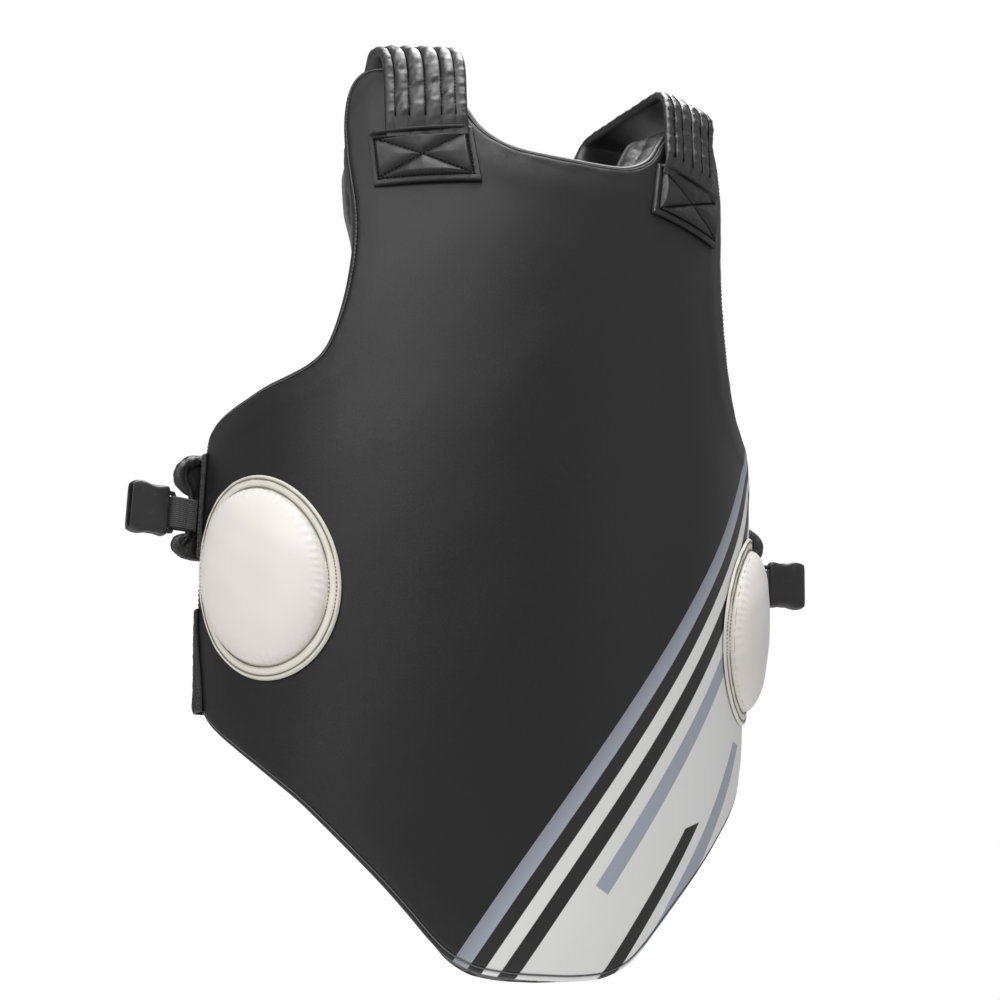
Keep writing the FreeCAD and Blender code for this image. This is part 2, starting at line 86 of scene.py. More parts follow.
LOG = logging.getLogger("belly_pad")
MM = 0.001
RENDER_LEVELS = 1
SEED = 7
UP = np.array([0.0, 0.0, 1.0])

# ---------------------------------------------------------------- sizes shared with the CAD model
BARREL_RADIUS = 0.238
BARREL_ARC = 2.5
BELLY_HEIGHT = 0.382
SHOULDER_HEIGHT = 0.698
AXIS_BACK = 0.180
HALF_WIDTH = 0.322
DEPTH = 0.050
ARMHOLE_FLARE = 0.030
FOLD = Vector((0.098, 0.100, 0.003))
WEBBING_WIDTH = 25 * MM
WEBBING_WALL = 1.8 * MM
SOCKET_MIDDLE = 38 * MM

# ---------------------------------------------------------------- the stripe print
STRIPE_SLOPE = 0.717
STRIPE_START = -0.082
PRINT_EDGE = 0.0004

# Flat outline of one half: (share of the half width, height above the bottom tip in mm).
OUTLINE = (
    (0.000, 0), (0.070, 0.3), (0.135, 2), (0.185, 5), (0.245, 13), (0.290, 24), (0.345, 41),
    (0.405, 59), (0.470, 77), (0.545, 97), (0.620, 116), (0.690, 131), (0.760, 145), (0.830, 158),
    (0.900, 171), (0.955, 184), (0.985, 200), (0.997, 222), (1.000, 250), (1.000, 285),
    (1.000, 320), (1.000, 355), (0.999, 385), (0.988, 403), (0.950, 414), (0.895, 420),
    (0.830, 425), (0.760, 431), (0.690, 436), (0.640, 441), (0.600, 449), (0.573, 462),
    (0.556, 480), (0.545, 502), (0.540, 530), (0.544, 556), (0.556, 580), (0.575, 606),
    (0.592, 630), (0.602, 650), (0.603, 665), (0.593, 677), (0.568, 685), (0.528, 688),
    (0.482, 686), (0.432, 681), (0.380, 675), (0.330, 667), (0.300, 658), (0.272, 647),
    (0.240, 633), (0.200, 623), (0.150, 616), (0.085, 613), (0.000, 612),
)


class Side(Enum):
    """Which side of the pad a piece is on, seen from the front."""

    LEFT = -1
    RIGHT = 1

    @property
    def word(self) -> str:
        """Lower-case name used in node names."""
        return self.name.lower()


# ---------------------------------------------------------------- numpy geometry
def smooth_ramp(value: Array, low: float, high: float) -> Array:
    """Smooth step from 0 at low to 1 at high."""
    share = np.clip((value - low) / (high - low), 0.0, 1.0)
    return share * share * (3.0 - 2.0 * share)


def bell(value: Array, centre: float, width: float) -> Array:
    """Bell curve of height 1."""
    return np.exp(-(((value - centre) / width) ** 2))


def round_off(value: Array, power: float) -> Array:
    """Height 1 in the middle that rounds off to 0 at -1 and 1."""
    return np.sqrt(np.clip(1 - np.abs(value) ** power, 0, 1))


def squared(wave: Array, power: float) -> Array:
    """Sine or cosine pushed outwards, so a circle becomes a rounded box."""
    return np.sign(wave) * np.abs(wave) ** power


def unit(vectors: Array) -> Array:
    """Vectors scaled to length 1."""
    return vectors / np.linalg.norm(vectors, axis=1, keepdims=True)


def circle(steps: int) -> Array:
    """Angles of an even full turn."""
    return np.linspace(0, 2 * math.pi, steps, endpoint=False)


def ripple(a: Array, b: Array, scale: float, seed: int, octaves: int = 4) -> Array:
    """Sum of slanted sine waves that never repeats in the piece, between about -1 and 1.

    Args:
        a: First coordinate in metres.
        b: Second coordinate in metres.
        scale: Length of the longest wave in metres.
        seed: Seed of the directions and phases.
        octaves: Number of waves.

    Returns:
        The waves' sum at each point.
    """
    rng = np.random.default_rng(SEED + seed)
    total = np.zeros(np.broadcast(a, b).shape)
    weight = 0.0
    for octave in range(octaves):
        angle, phase = rng.uniform(0, 2 * math.pi, 2)
        wave = 2 * math.pi / (scale / (1.0 + 0.73 * octave))
        gain = 1.0 / (1.0 + 0.6 * octave)
        bend = 0.6 * np.sin(wave * 0.37 * b + phase * 2.0)
        total += gain * np.sin(wave * (a * math.cos(angle) + b * math.sin(angle)) + phase + bend)
        weight += gain
    return total / weight


def radius_at(height: Array) -> Array:
    """Radius of the front cover at a height above the bottom tip."""
    return BARREL_RADIUS - BARREL_ARC + np.sqrt(BARREL_ARC ** 2 - (height - BELLY_HEIGHT) ** 2)


def on_front(arc: Array, height: Array, lift: Array) -> Array:
    """Points on the barrel, from flat position and distance off the cover.

    Args:
        arc: Distance from the middle along the curved front.
        height: Height above the bottom tip.
        lift: Distance off the cover, outwards.

    Returns:
        Array of points with a last axis of 3.
    """
    angle = arc / BARREL_RADIUS
    reach = radius_at(height) + lift
    return np.stack([reach * np.sin(angle), AXIS_BACK - reach * np.cos(angle),
                     height - SHOULDER_HEIGHT + 0 * reach], -1)


def closed_spline(points: Array, steps: int) -> Array:
    """Smooth closed curve through points (Catmull-Rom), with a number of steps per span."""
    share = np.arange(steps)[None, :, None] / steps
    p0, p1, p2, p3 = (np.roll(points, k, 0)[:, None, :] for k in (1, 0, -1, -2))
    curve = 0.5 * (2 * p1 + (p2 - p0) * share + (2 * p0 - 5 * p1 + 4 * p2 - p3) * share ** 2
                   + (3 * p1 - p0 - 3 * p2 + p3) * share ** 3)
    return curve.reshape(-1, points.shape[1])


def loop_run(curve: Array) -> Array:
    """Direction of a closed curve at each point."""
    return np.roll(curve, -1, 0) - np.roll(curve, 1, 0)


def inward_normals(curve: Array) -> Array:
    """Unit normals of a closed counter-clockwise plane curve, pointing inwards."""
    run = unit(loop_run(curve))
    return np.stack([-run[:, 1], run[:, 0]], -1)


def arc_length(line: Array) -> Array:
    """Distance travelled along a line at each of its points."""
    return np.concatenate([[0], np.cumsum(np.linalg.norm(np.diff(line, axis=0), axis=1))])


def columns_at(places: Array, length: Array, data: Array) -> Array:
    """Every column of data read at places along its length."""
    return np.stack([np.interp(places, length, data[:, k]) for k in range(data.shape[1])], -1)


def resample(curve: Array, pitch: float, closed: bool = True) -> Array:
    """Points at an even pitch along a curve in any number of dimensions."""
    loop = np.vstack([curve, curve[:1]]) if closed else curve
    length = arc_length(loop)
    count = max(int(length[-1] / pitch), 2)
    return columns_at(np.linspace(0, length[-1], count, endpoint=not closed), length, loop)


def smooth_route(knots: Array, count: int, window: int) -> Array:
    """Evenly spaced, smoothed points along knots whose first three columns are a place."""
    length = arc_length(knots[:, :3])
    line = columns_at(np.linspace(0, length[-1], count), length, knots)
    kernel = np.hanning(window)
    kernel /= kernel.sum()
    pad = window // 2
    padded = np.vstack([np.repeat(line[:1], pad, 0), line, np.repeat(line[-1:], pad, 0)])
    return np.stack([np.convolve(column, kernel, "valid") for column in padded.T], -1)


def shrunk_rings(loop: Array, centre: Array, inset: float, shares: Array, gaps: Array,
                 spread: float) -> Tuple[Array, Array]:
    """Flat rings from the middle of an outline to its edge, and each one's distance from it.

    Args:
        loop: Closed outline.
        centre: Middle the inner rings shrink to.
        inset: Distance of the last shrunk ring from the edge.
        shares: Size of each shrunk ring.
        gaps: Distances from the edge of the outer rings.
        spread: Distance that a whole share of shrinking stands for.

    Returns:
        The rings and their distances.
    """
    inward = inward_normals(loop)
    inner = loop + inward * inset
    wide = centre + (inner[None] - centre) * shares[:, None, None]
    near = loop[None] + inward[None] * gaps[:, None, None]
    distance = np.concatenate([inset + (1 - shares) * spread, [inset], gaps])[:, None]
    return np.concatenate([wide, inner[None], near]), distance


def grid_faces(rows: int, columns: int, wrap_rows: bool, wrap_columns: bool) -> Array:
    """Quads of a grid of points stored row by row."""
    r = np.arange(rows if wrap_rows else rows - 1)[:, None]
    c = np.arange(columns if wrap_columns else columns - 1)[None, :]
    r2, c2 = (r + 1) % rows, (c + 1) % columns
    quads = np.stack([r * columns + c, r * columns + c2, r2 * columns + c2, r2 * columns + c], -1)
    return quads.reshape(-1, 4)


# ---------------------------------------------------------------- pieces
def make_object(name: str, points: Array, faces: List[Sequence[int]],
                materials: Sequence[Material], slots: Optional[Array] = None,
                flat: Optional[Array] = None) -> Piece:
    """Mesh object at the origin with smooth faces.

    Args:
        name: Name of the object and mesh.
        points: Points with a last axis of 3.
        faces: Corner indices of each face.
        materials: Material slots.
        slots: Material slot of each face.
        flat: Flat position stored on each point.

    Returns:
        The linked object.
    """
    mesh = bpy.data.meshes.new(name)
    mesh.from_pydata(points.reshape(-1, 3).tolist(), [], faces)
    for material in materials:
        mesh.materials.append(material)
    if slots is not None:
        mesh.polygons.foreach_set("material_index", slots.astype(np.int32))
    if flat is not None:
        layer = mesh.attributes.new("flat", "FLOAT_VECTOR", "POINT")
        layer.data.foreach_set("vector", flat.reshape(-1).astype(np.float32))
    mesh.polygons.foreach_set("use_smooth", np.ones(len(mesh.polygons), dtype=bool))
    shape = bmesh.new()
    shape.from_mesh(mesh)
    bmesh.ops.recalc_face_normals(shape, faces=shape.faces)
    shape.to_mesh(mesh)
    shape.free()
    mesh.update()
    obj = bpy.data.objects.new(name, mesh)
    bpy.context.scene.collection.objects.link(obj)
    return obj


def with_ends(rings: Array) -> Array:
    """Points of a stack of rings, followed by the middle of its first and last ring."""
    return np.vstack([rings.reshape(-1, 3), rings[0].mean(0)[None], rings[-1].mean(0)[None]])


def ring_stack(name: str, rings: Array, materials: Sequence[Material],
               ring_slots: Optional[Sequence[int]] = None, flat: Optional[Array] = None) -> Piece:
    """Closed skin through a stack of closed rings, with a point at each end.

    Args:
        name: Object name.
        rings: Array of rings, points and 3 coordinates.
        materials: Material slots.
        ring_slots: Material slot of the band after each ring.
        flat: Flat position of the ring points.

    Returns:
        The object.
    """
    count, width = rings.shape[:2]
    index = np.arange(width)
    after = (index + 1) % width
    base = (count - 1) * width
    start = np.stack([np.full(width, count * width), after, index], -1)
    end = np.stack([np.full(width, count * width + 1), base + index, base + after], -1)
    slots = None
    if ring_slots is not None:
        slots = np.concatenate([np.repeat(np.asarray(ring_slots[:count - 1]), width),
                                np.full(width, ring_slots[0]), np.full(width, ring_slots[-1])])
    faces = grid_faces(count, width, False, True).tolist() + start.tolist() + end.tolist()
    return make_object(name, with_ends(rings), faces, materials, slots,
                       None if flat is None else with_ends(flat))


def closed_grid(name: str, points: Array, material: Material) -> Piece:
    """Ring-shaped piece from a grid of points that closes both ways."""
    faces = grid_faces(points.shape[0], points.shape[1], True, True)
    return make_object(name, points, faces.tolist(), [material])


def ribbon(name: str, path: Array, across: Array, width: float, wall: float,
           material: Material, edge: float = 0.0) -> Piece:
    """Strip of webbing or band along a path, with rounded edges.

    Args:
        name: Object name.
        path: Points of the middle line.
        across: Width direction, one for all points or one each.
        width: Width of the strip.
        wall: Thickness.
        material: Finish.
        edge: Extra thickness along both edges, as a woven or sewn hem has.

    Returns:
        The strip.
    """
    across = np.broadcast_to(across, path.shape)
    normal = unit(np.cross(unit(np.gradient(path, axis=0)), across))
    share = np.concatenate([np.linspace(-1, 1, 31), np.linspace(1, -1, 31)[1:-1]])
    face = np.concatenate([np.ones(31), -np.ones(29)])
    hem = edge * smooth_ramp(np.abs(share), 0.80, 0.86)
    height = face * (wall / 2 * round_off(share, 24) + hem * round_off(share, 24))
    loops = (path[:, None] + across[:, None] * (share * width / 2)[None, :, None]
             + normal[:, None] * height[None, :, None])
    return ring_stack(name, loops, [material])


def seam(line: Array, out: Array, pitch: float, closed: bool = True,
         raised: float = 0.0) -> Seam:
    """Places, directions and outward directions of the stitches along one line."""
    data = resample(np.hstack([line, out]), pitch, closed)
    spots, off = data[:, :3], data[:, 3:]
    along = loop_run(spots) if closed else np.gradient(spots, axis=0)
    return spots + off * raised, along, off


def stitch_row(name: str, seams: Sequence[Seam], material: Material,
               length: float = 2.3 * MM, radius: float = 0.42 * MM) -> Piece:
    """Row of sewn stitches, each a short rounded bead that dips into the leather at its ends.

    Args:
        name: Object name.
        seams: Lines of stitches: centres, directions and directions off the surface.
        material: Thread material.
        length: Length of one stitch.
        radius: Thickness of the thread, as a radius.

    Returns:
        One object that holds every line.
    """
    places, along, out = (np.vstack(rows) for rows in zip(*seams))
    along = unit(along)
    out = unit(out - along * np.sum(out * along, 1, keepdims=True))
    across = np.cross(out, along)
    profile = np.array([-0.5, -0.42, -0.2, 0.2, 0.42, 0.5])
    size = np.array([0.25, 0.8, 1.0, 1.0, 0.8, 0.25])
    lift = np.array([-0.9, -0.1, 0.35, 0.35, -0.1, -0.9])
    turn = np.arange(6) * math.pi / 3
    bead = [places[:, None] + along[:, None] * p * length
            + out[:, None] * (radius * (h + s * np.sin(turn)))[None, :, None]
            + across[:, None] * (radius * s * np.cos(turn))[None, :, None]
            for p, s, h in zip(profile, size, lift)]
    block = len(profile) * 6
    shift = (np.arange(len(places)) * block)[:, None, None]
    quads = (grid_faces(len(profile), 6, False, True)[None] + shift).reshape(-1, 4)
    cap = np.stack([[5, 4, 3, 2, 1, 0], np.arange(6) + block - 6])
    caps = (cap[None] + shift).reshape(-1, 6)
    return make_object(name, np.stack(bead, 1), quads.tolist() + caps.tolist(), [material])


def carry(piece: Piece, body: str, slot: str = "", *nodes: str) -> None:
    """Put a piece on its body and hide the CAD nodes that it stands for."""
    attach(piece, body)
    if nodes:
        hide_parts(*nodes)


# ---------------------------------------------------------------- materials
class NodeKit:
    """Short calls for building a node tree."""

    def __init__(self, tree: bpy.types.NodeTree) -> None:
        """Keep the tree."""
        self.tree = tree

    def node(self, kind: str, **settings: object) -> Node:
        """New node with its settings."""
        made = self.tree.nodes.new(kind)
        for key, value in settings.items():
            setattr(made, key, value)
        return made

    def feed(self, socket: Socket, value: object) -> None:
        """Link a socket or set a constant on it."""
        if isinstance(value, Socket):
            self.tree.links.new(value, socket)
        else:
            socket.default_value = value

    def filled(self, kind: str, values: Dict, **settings: object) -> Node:
        """New node with values fed to its inputs, by name or number."""
        made = self.node(kind, **settings)
        for key, value in values.items():
            self.feed(made.inputs[key], value)
        return made

    def math(self, operation: str, *values: object) -> Socket:
        """Math node of one to three values."""
        return self.filled("ShaderNodeMath", dict(enumerate(values)),
                           operation=operation).outputs[0]

    def mix(self, share: object, first: object, second: object) -> Socket:
        """Colour mix from first to second."""
        return self.filled("ShaderNodeMix", {0: share, 6: first, 7: second},
                           data_type="RGBA").outputs[2]

    def step(self, value: object, low: float, high: float, smooth: bool = True) -> Socket:
        """Value remapped from 0 at low to 1 at high."""
        return self.filled("ShaderNodeMapRange", {0: value, 1: low, 2: high},
                           interpolation_type="SMOOTHSTEP" if smooth else "LINEAR").outputs[0]

    def band(self, value: object, low: float, high: float) -> Socket:
        """1 between two values, with soft borders."""
        rise, fall = (self.step(value, v - PRINT_EDGE, v + PRINT_EDGE) for v in (low, high))
        return self.math("SUBTRACT", rise, fall)

    def noise(self, vector: object, scale: float, detail: float = 3.0, rough: float = 0.55
              ) -> Socket:
        """Noise value."""
        values = {"Vector": vector, "Scale": scale, "Detail": detail, "Roughness": rough}
        return self.filled("ShaderNodeTexNoise", values).outputs[0]

    def stretch(self, vector: object, scale: Triple) -> Socket:
        """Coordinates scaled per axis."""
        return self.filled("ShaderNodeVectorMath", {0: vector, 1: scale},
                           operation="MULTIPLY").outputs[0]


def new_group(name: str, vector: str, number: str, outputs: Sequence[str]
              ) -> Tuple[NodeKit, Node, Node]:
    """Empty shader node group with its sockets.

    Args:
        name: Group name.
        vector: Name of the vector input.
        number: Name of the number input, or nothing.
        outputs: Names of the number outputs.

    Returns:
        The group's kit, its input node and its output node.
    """
    tree = bpy.data.node_groups.new(name, "ShaderNodeTree")
    tree.interface.new_socket(vector, in_out="INPUT", socket_type="NodeSocketVector")
    if number:
        tree.interface.new_socket(number, in_out="INPUT", socket_type="NodeSocketFloat")
    for label in outputs:
        tree.interface.new_socket(label, in_out="OUTPUT", socket_type="NodeSocketFloat")
    kit = NodeKit(tree)
    return kit, kit.node("NodeGroupInput"), kit.node("NodeGroupOutput")


def grain_group() -> None:
    """Fine leather grain: a height for the bump and a tone that varies with it."""
    kit, start, end = new_group("leather_grain", "Vector", "Cell", ("Height", "Tone"))
    place = start.outputs["Vector"]
    cells = kit.filled("ShaderNodeTexVoronoi", {"Vector": place, "Scale": start.outputs["Cell"]},
                       feature="DISTANCE_TO_EDGE")
    pebble = kit.step(cells.outputs["Distance"], 0.0, 0.22)
    fine, broad = kit.noise(place, 900.0, 2.0), kit.noise(place, 14.0, 3.0)
    kit.feed(end.inputs["Height"], kit.math("MULTIPLY_ADD", fine, 0.45, pebble))
    kit.feed(end.inputs["Tone"],
             kit.math("MULTIPLY_ADD", pebble, 0.25, kit.math("MULTIPLY", broad, 0.75)))


def weave_group() -> None:
    """Ribbed webbing weave from a coordinate in metres: height and thread mask."""
    kit, start, end = new_group("webbing_weave", "Vector", "Ribs", ("Height", "Mask"))
    parts = kit.filled("ShaderNodeSeparateXYZ", {0: start.outputs["Vector"]})
    waves = []
    for axis, share in ((0, 1.0), (1, 1.0), (2, 0.62)):
        turns = kit.math("MULTIPLY", kit.math("MULTIPLY", parts.outputs[axis], share),
                         start.outputs["Ribs"])
        waves.append(kit.math("ABSOLUTE", kit.math("SINE", turns)))
    crossing = kit.math("MULTIPLY", kit.math("ADD", waves[0], waves[1]), waves[2])
    fuzz = kit.noise(start.outputs["Vector"], 1400.0, 2.0)
    kit.feed(end.inputs["Height"], kit.math("MULTIPLY_ADD", fuzz, 0.3, crossing))
    kit.feed(end.inputs["Mask"], kit.step(crossing, 0.1, 1.1))


def stripe_group() -> None:
    """Slanted stripe print from a flat position: masks of white field, dark and grey bars."""
    kit, start, end = new_group("stripe_print", "Flat", "", ("White", "Dark", "Grey", "Sheen"))
    parts = kit.filled("ShaderNodeSeparateXYZ", {0: start.outputs["Flat"]})
    arc, height = parts.outputs[0], parts.outputs[1]
    slant = kit.math("MULTIPLY_ADD", height, -STRIPE_SLOPE, arc)
    offset = kit.math("SUBTRACT", slant, STRIPE_START)

    def above(gain: float, base: float) -> Socket:
        """1 above a slanted end of a bar."""
        line = kit.math("MULTIPLY_ADD", offset, gain, base)
        return kit.step(kit.math("SUBTRACT", height, line), -PRINT_EDGE, PRINT_EDGE)

    def cut(low: float, high: float, keep: Socket) -> Socket:
        """Bar kept only where a mask is 1."""
        return kit.math("MULTIPLY", kit.band(offset, low, high), keep)

    kit.feed(end.inputs["White"], kit.step(offset, -PRINT_EDGE, PRINT_EDGE))
    dark = kit.math("ADD", kit.band(offset, 0.0150, 0.0285), kit.band(offset, 0.0425, 0.0580))
    below = kit.math("SUBTRACT", 1.0, above(0.45, 0.0555))
    kit.feed(end.inputs["Dark"], kit.math("ADD", dark, cut(0.129, 0.1435, below)))
    low = kit.math("SUBTRACT", 1.0, kit.step(height, 0.1880, 0.1888))
    grey = kit.math("ADD", kit.band(offset, 0.0, 0.0150), cut(0.072, 0.088, above(-0.35, 0.0915)))
    kit.feed(end.inputs["Grey"], kit.math("ADD", grey, cut(0.156, 0.1745, low)))
    kit.feed(end.inputs["Sheen"], kit.step(offset, 0.0, 0.015, False))


def shade(color: Triple, gain: float = 1.0) -> Tuple[float, ...]:
    """Opaque colour, brighter or darker than the given one."""
    return tuple(min(c * gain, 1.0) for c in color) + (1.0,)


@dataclass(frozen=True)
class Finish:
    """Base of every finish: colour and how rough it is."""

    name: str
    color: Triple
    roughness: float

    def start(self) -> Tuple[Material, NodeKit, Node, Socket]:
        """New material with its kit, its principled shader and the piece's coordinates."""
        material = bpy.data.materials.new(self.name)
        material.use_nodes = True
        kit = NodeKit(material.node_tree)
        shader = material.node_tree.nodes["Principled BSDF"]
        shader.inputs["Base Color"].default_value = shade(self.color)
        shader.inputs["Roughness"].default_value = self.roughness
        return material, kit, shader, kit.node("ShaderNodeTexCoord").outputs["Object"]

    def bump(self, kit: NodeKit, shader: Node, height: Socket, strength: float,
             distance: float) -> None:
        """Bump the surface with a height."""
        made = kit.filled("ShaderNodeBump",
                          {"Strength": strength, "Distance": distance, "Height": height})
        kit.feed(shader.inputs["Normal"], made.outputs[0])

    def group(self, kit: NodeKit, tree_name: str, **values: object) -> Node:
        """A shared effect inside this material."""
        made = kit.node("ShaderNodeGroup", node_tree=bpy.data.node_groups[tree_name])
        for key, value in values.items():
            kit.feed(made.inputs[key], value)
        return made


@dataclass(frozen=True)
class LeatherFinish(Finish):
    """Synthetic leather with fine grain."""

    cell: float = 900.0
    bump_strength: float = 0.25
    variation: float = 0.25
    shine: float = 0.4
    crease: bool = False
    swing: float = 0.12
    relief: float = 0.0004

    def build(self) -> Material:
        """Material whose tone, sheen and bump follow the grain."""
        material, kit, shader, place = self.start()
        grain = self.group(kit, "leather_grain", Vector=place, Cell=self.cell)
        tone = grain.outputs["Tone"]
        base = kit.mix(tone, shade(self.color, 1.0 - self.variation),
                       shade(self.color, 1.0 + self.variation))
        kit.feed(shader.inputs["Base Color"], self.paint(kit, tone, base))
        kit.feed(shader.inputs["Roughness"],
                 kit.math("MULTIPLY_ADD", tone, self.swing, self.roughness - self.swing / 2))
        height = self.shape(kit, place, grain.outputs["Height"])
        self.bump(kit, shader, height, self.bump_strength, self.relief)
        shader.inputs["Specular IOR Level"].default_value = self.shine
        return material

    def paint(self, kit: NodeKit, tone: Socket, base: Socket) -> Socket:
        """Colour of the leather."""
        return base

    def shape(self, kit: NodeKit, place: Socket, height: Socket) -> Socket:
        """Height of the grain, with folds in creased leather."""
        if not self.crease:
            return height
        folds = kit.noise(kit.stretch(place, (60.0, 60.0, 25.0)), 1.6, 4.0, 0.6)
        return kit.math("MULTIPLY_ADD", folds, 6.0, height)


@dataclass(frozen=True)
class PrintedFinish(LeatherFinish):
    """Front cover: black leather with the slanted stripe print."""

    white: Triple = (0.74, 0.74, 0.735)
    grey: Triple = (0.33, 0.36, 0.42)
    ink: Triple = (0.0130, 0.0125, 0.0130)

    def paint(self, kit: NodeKit, tone: Socket, base: Socket) -> Socket:
        """Print over the black, placed by the flat position stored on the cover."""
        flat = kit.node("ShaderNodeAttribute", attribute_name="flat")
        stripes = self.group(kit, "stripe_print", Flat=flat.outputs["Vector"]).outputs
        white = kit.mix(tone, shade(self.white, 0.97), shade(self.white))
        grey = kit.mix(stripes["Sheen"], shade(self.grey, 0.72), shade(self.grey))
        color = kit.mix(stripes["White"], base, white)
        color = kit.mix(stripes["Grey"], color, grey)
        return kit.mix(stripes["Dark"], color, shade(self.ink))

    def shape(self, kit: NodeKit, place: Socket, height: Socket) -> Socket:
        """Grain with broad shallow dents."""
        dents = kit.noise(place, 9.0, 2.0)
        return kit.math("MULTIPLY_ADD", dents, 4.0, height)


@dataclass(frozen=True)
class WebbingFinish(Finish):
    """Ribbed woven webbing or elastic."""

    ribs: float = 3000.0

    def build(self) -> Material:
        """Material with the weave in colour and bump."""
        material, kit, shader, place = self.start()
        weave = self.group(kit, "webbing_weave", Vector=place, Ribs=self.ribs)
        kit.feed(shader.inputs["Base Color"],
                 kit.mix(weave.outputs["Mask"], shade(self.color, 0.45), shade(self.color, 1.5)))
        self.bump(kit, shader, weave.outputs["Height"], 0.6, 0.0005)
        shader.inputs["Sheen Weight"].default_value = 0.25
        return material


@dataclass(frozen=True)
class PlasticFinish(Finish):
    """Moulded plastic with a fine texture and slight scuffs."""

    def build(self) -> Material:
        """Material with fine speckle and rougher scuffs."""
        material, kit, shader, place = self.start()
        fine = kit.noise(place, 2600.0, 2.0)
        scuffs = kit.step(kit.noise(place, 160.0, 5.0, 0.7), 0.55, 0.75)
        kit.feed(shader.inputs["Base Color"],
                 kit.mix(scuffs, shade(self.color), shade(self.color, 2.2)))
        kit.feed(shader.inputs["Roughness"],
                 kit.math("MULTIPLY_ADD", scuffs, 0.15, self.roughness))
        self.bump(kit, shader, fine, 0.25, 0.0002)
        return material


@dataclass(frozen=True)
class PileFinish(Finish):
    """Short fibres: lining, hook and loop."""

    scale: float = 1500.0
    strength: float = 0.5

    def build(self) -> Material:
        """Material of soft mottled fibres."""
        material, kit, shader, place = self.start()
        fibres = kit.noise(place, self.scale, 4.0, 0.7)
        kit.feed(shader.inputs["Base Color"],
                 kit.mix(fibres, shade(self.color), shade(self.color, 1.9)))
        self.bump(kit, shader, fibres, self.strength, 0.0006)
        shader.inputs["Sheen Weight"].default_value = 0.4
        return material


@dataclass
class Palette:
    """Every finish of the pad, built once."""

    made: Dict[str, Material] = field(default_factory=dict)

    def build(self) -> None:
        """Build the shared effects and all materials."""
        grain_group()
        weave_group()
        stripe_group()
        black = (0.0080, 0.0076, 0.0082)
        # name, colour, roughness, cell, bump, variation, shine
        leathers = (
            ("strap_leather", black, 0.30, 1300.0, 0.30, 0.3, 0.75),
            ("patch_leather", (0.0090, 0.0086, 0.0092), 0.34, 1200.0, 0.30, 0.25, 0.45),
            ("white_leather", (0.74, 0.70, 0.665), 0.40, 1200.0, 0.12, 0.03, 0.4),
            ("rim_leather", (0.70, 0.675, 0.60), 0.46, 1100.0, 0.20, 0.04, 0.4),
            # black_thread: black thread, made darker and more matte than the black leather so its
            # stitches carry the painted shade of their stitch holes.
            ("black_thread", (0.0025, 0.0025, 0.0027), 0.8, 3000.0, 0.4, 0.3, 0.1),
            # seam_thread: thread painted light grey, a painted highlight that stands in for the
            # glints along the sewn seams.
            ("seam_thread", (0.12, 0.12, 0.125), 0.45, 3000.0, 0.4, 0.3, 0.4),
            # cream_thread: cream thread painted down to mid grey, the painted shade of the stitch
            # holes round the targets.
            ("cream_thread", (0.20, 0.18, 0.155), 0.6, 3000.0, 0.4, 0.25, 0.4),
        )
        finishes = [LeatherFinish(*row) for row in leathers]
        finishes += [
            PrintedFinish("printed_cover", (0.0070, 0.0060, 0.0068), 0.42, 1100.0, 0.22,
                          shine=0.42, swing=0.10, relief=0.0003),
            LeatherFinish("gusset_leather", black, 0.36, 1000.0, 0.5, 0.3, 0.5, True),
            PileFinish("lining_cloth", (0.016, 0.016, 0.018), 0.85),
            PileFinish("hook_loop", (0.014, 0.014, 0.015), 0.9, 2600.0, 0.9),
            WebbingFinish("webbing", (0.020, 0.020, 0.022), 0.62, 3200.0),
            WebbingFinish("elastic", (0.022, 0.022, 0.024), 0.75, 1700.0),
            PlasticFinish("buckle_plastic", (0.016, 0.016, 0.017), 0.36),
        ]
        for finish in finishes:
            self.made[finish.name] = finish.build()

    def __getitem__(self, name: str) -> Material:
        """Material by name."""
        return self.made[name]


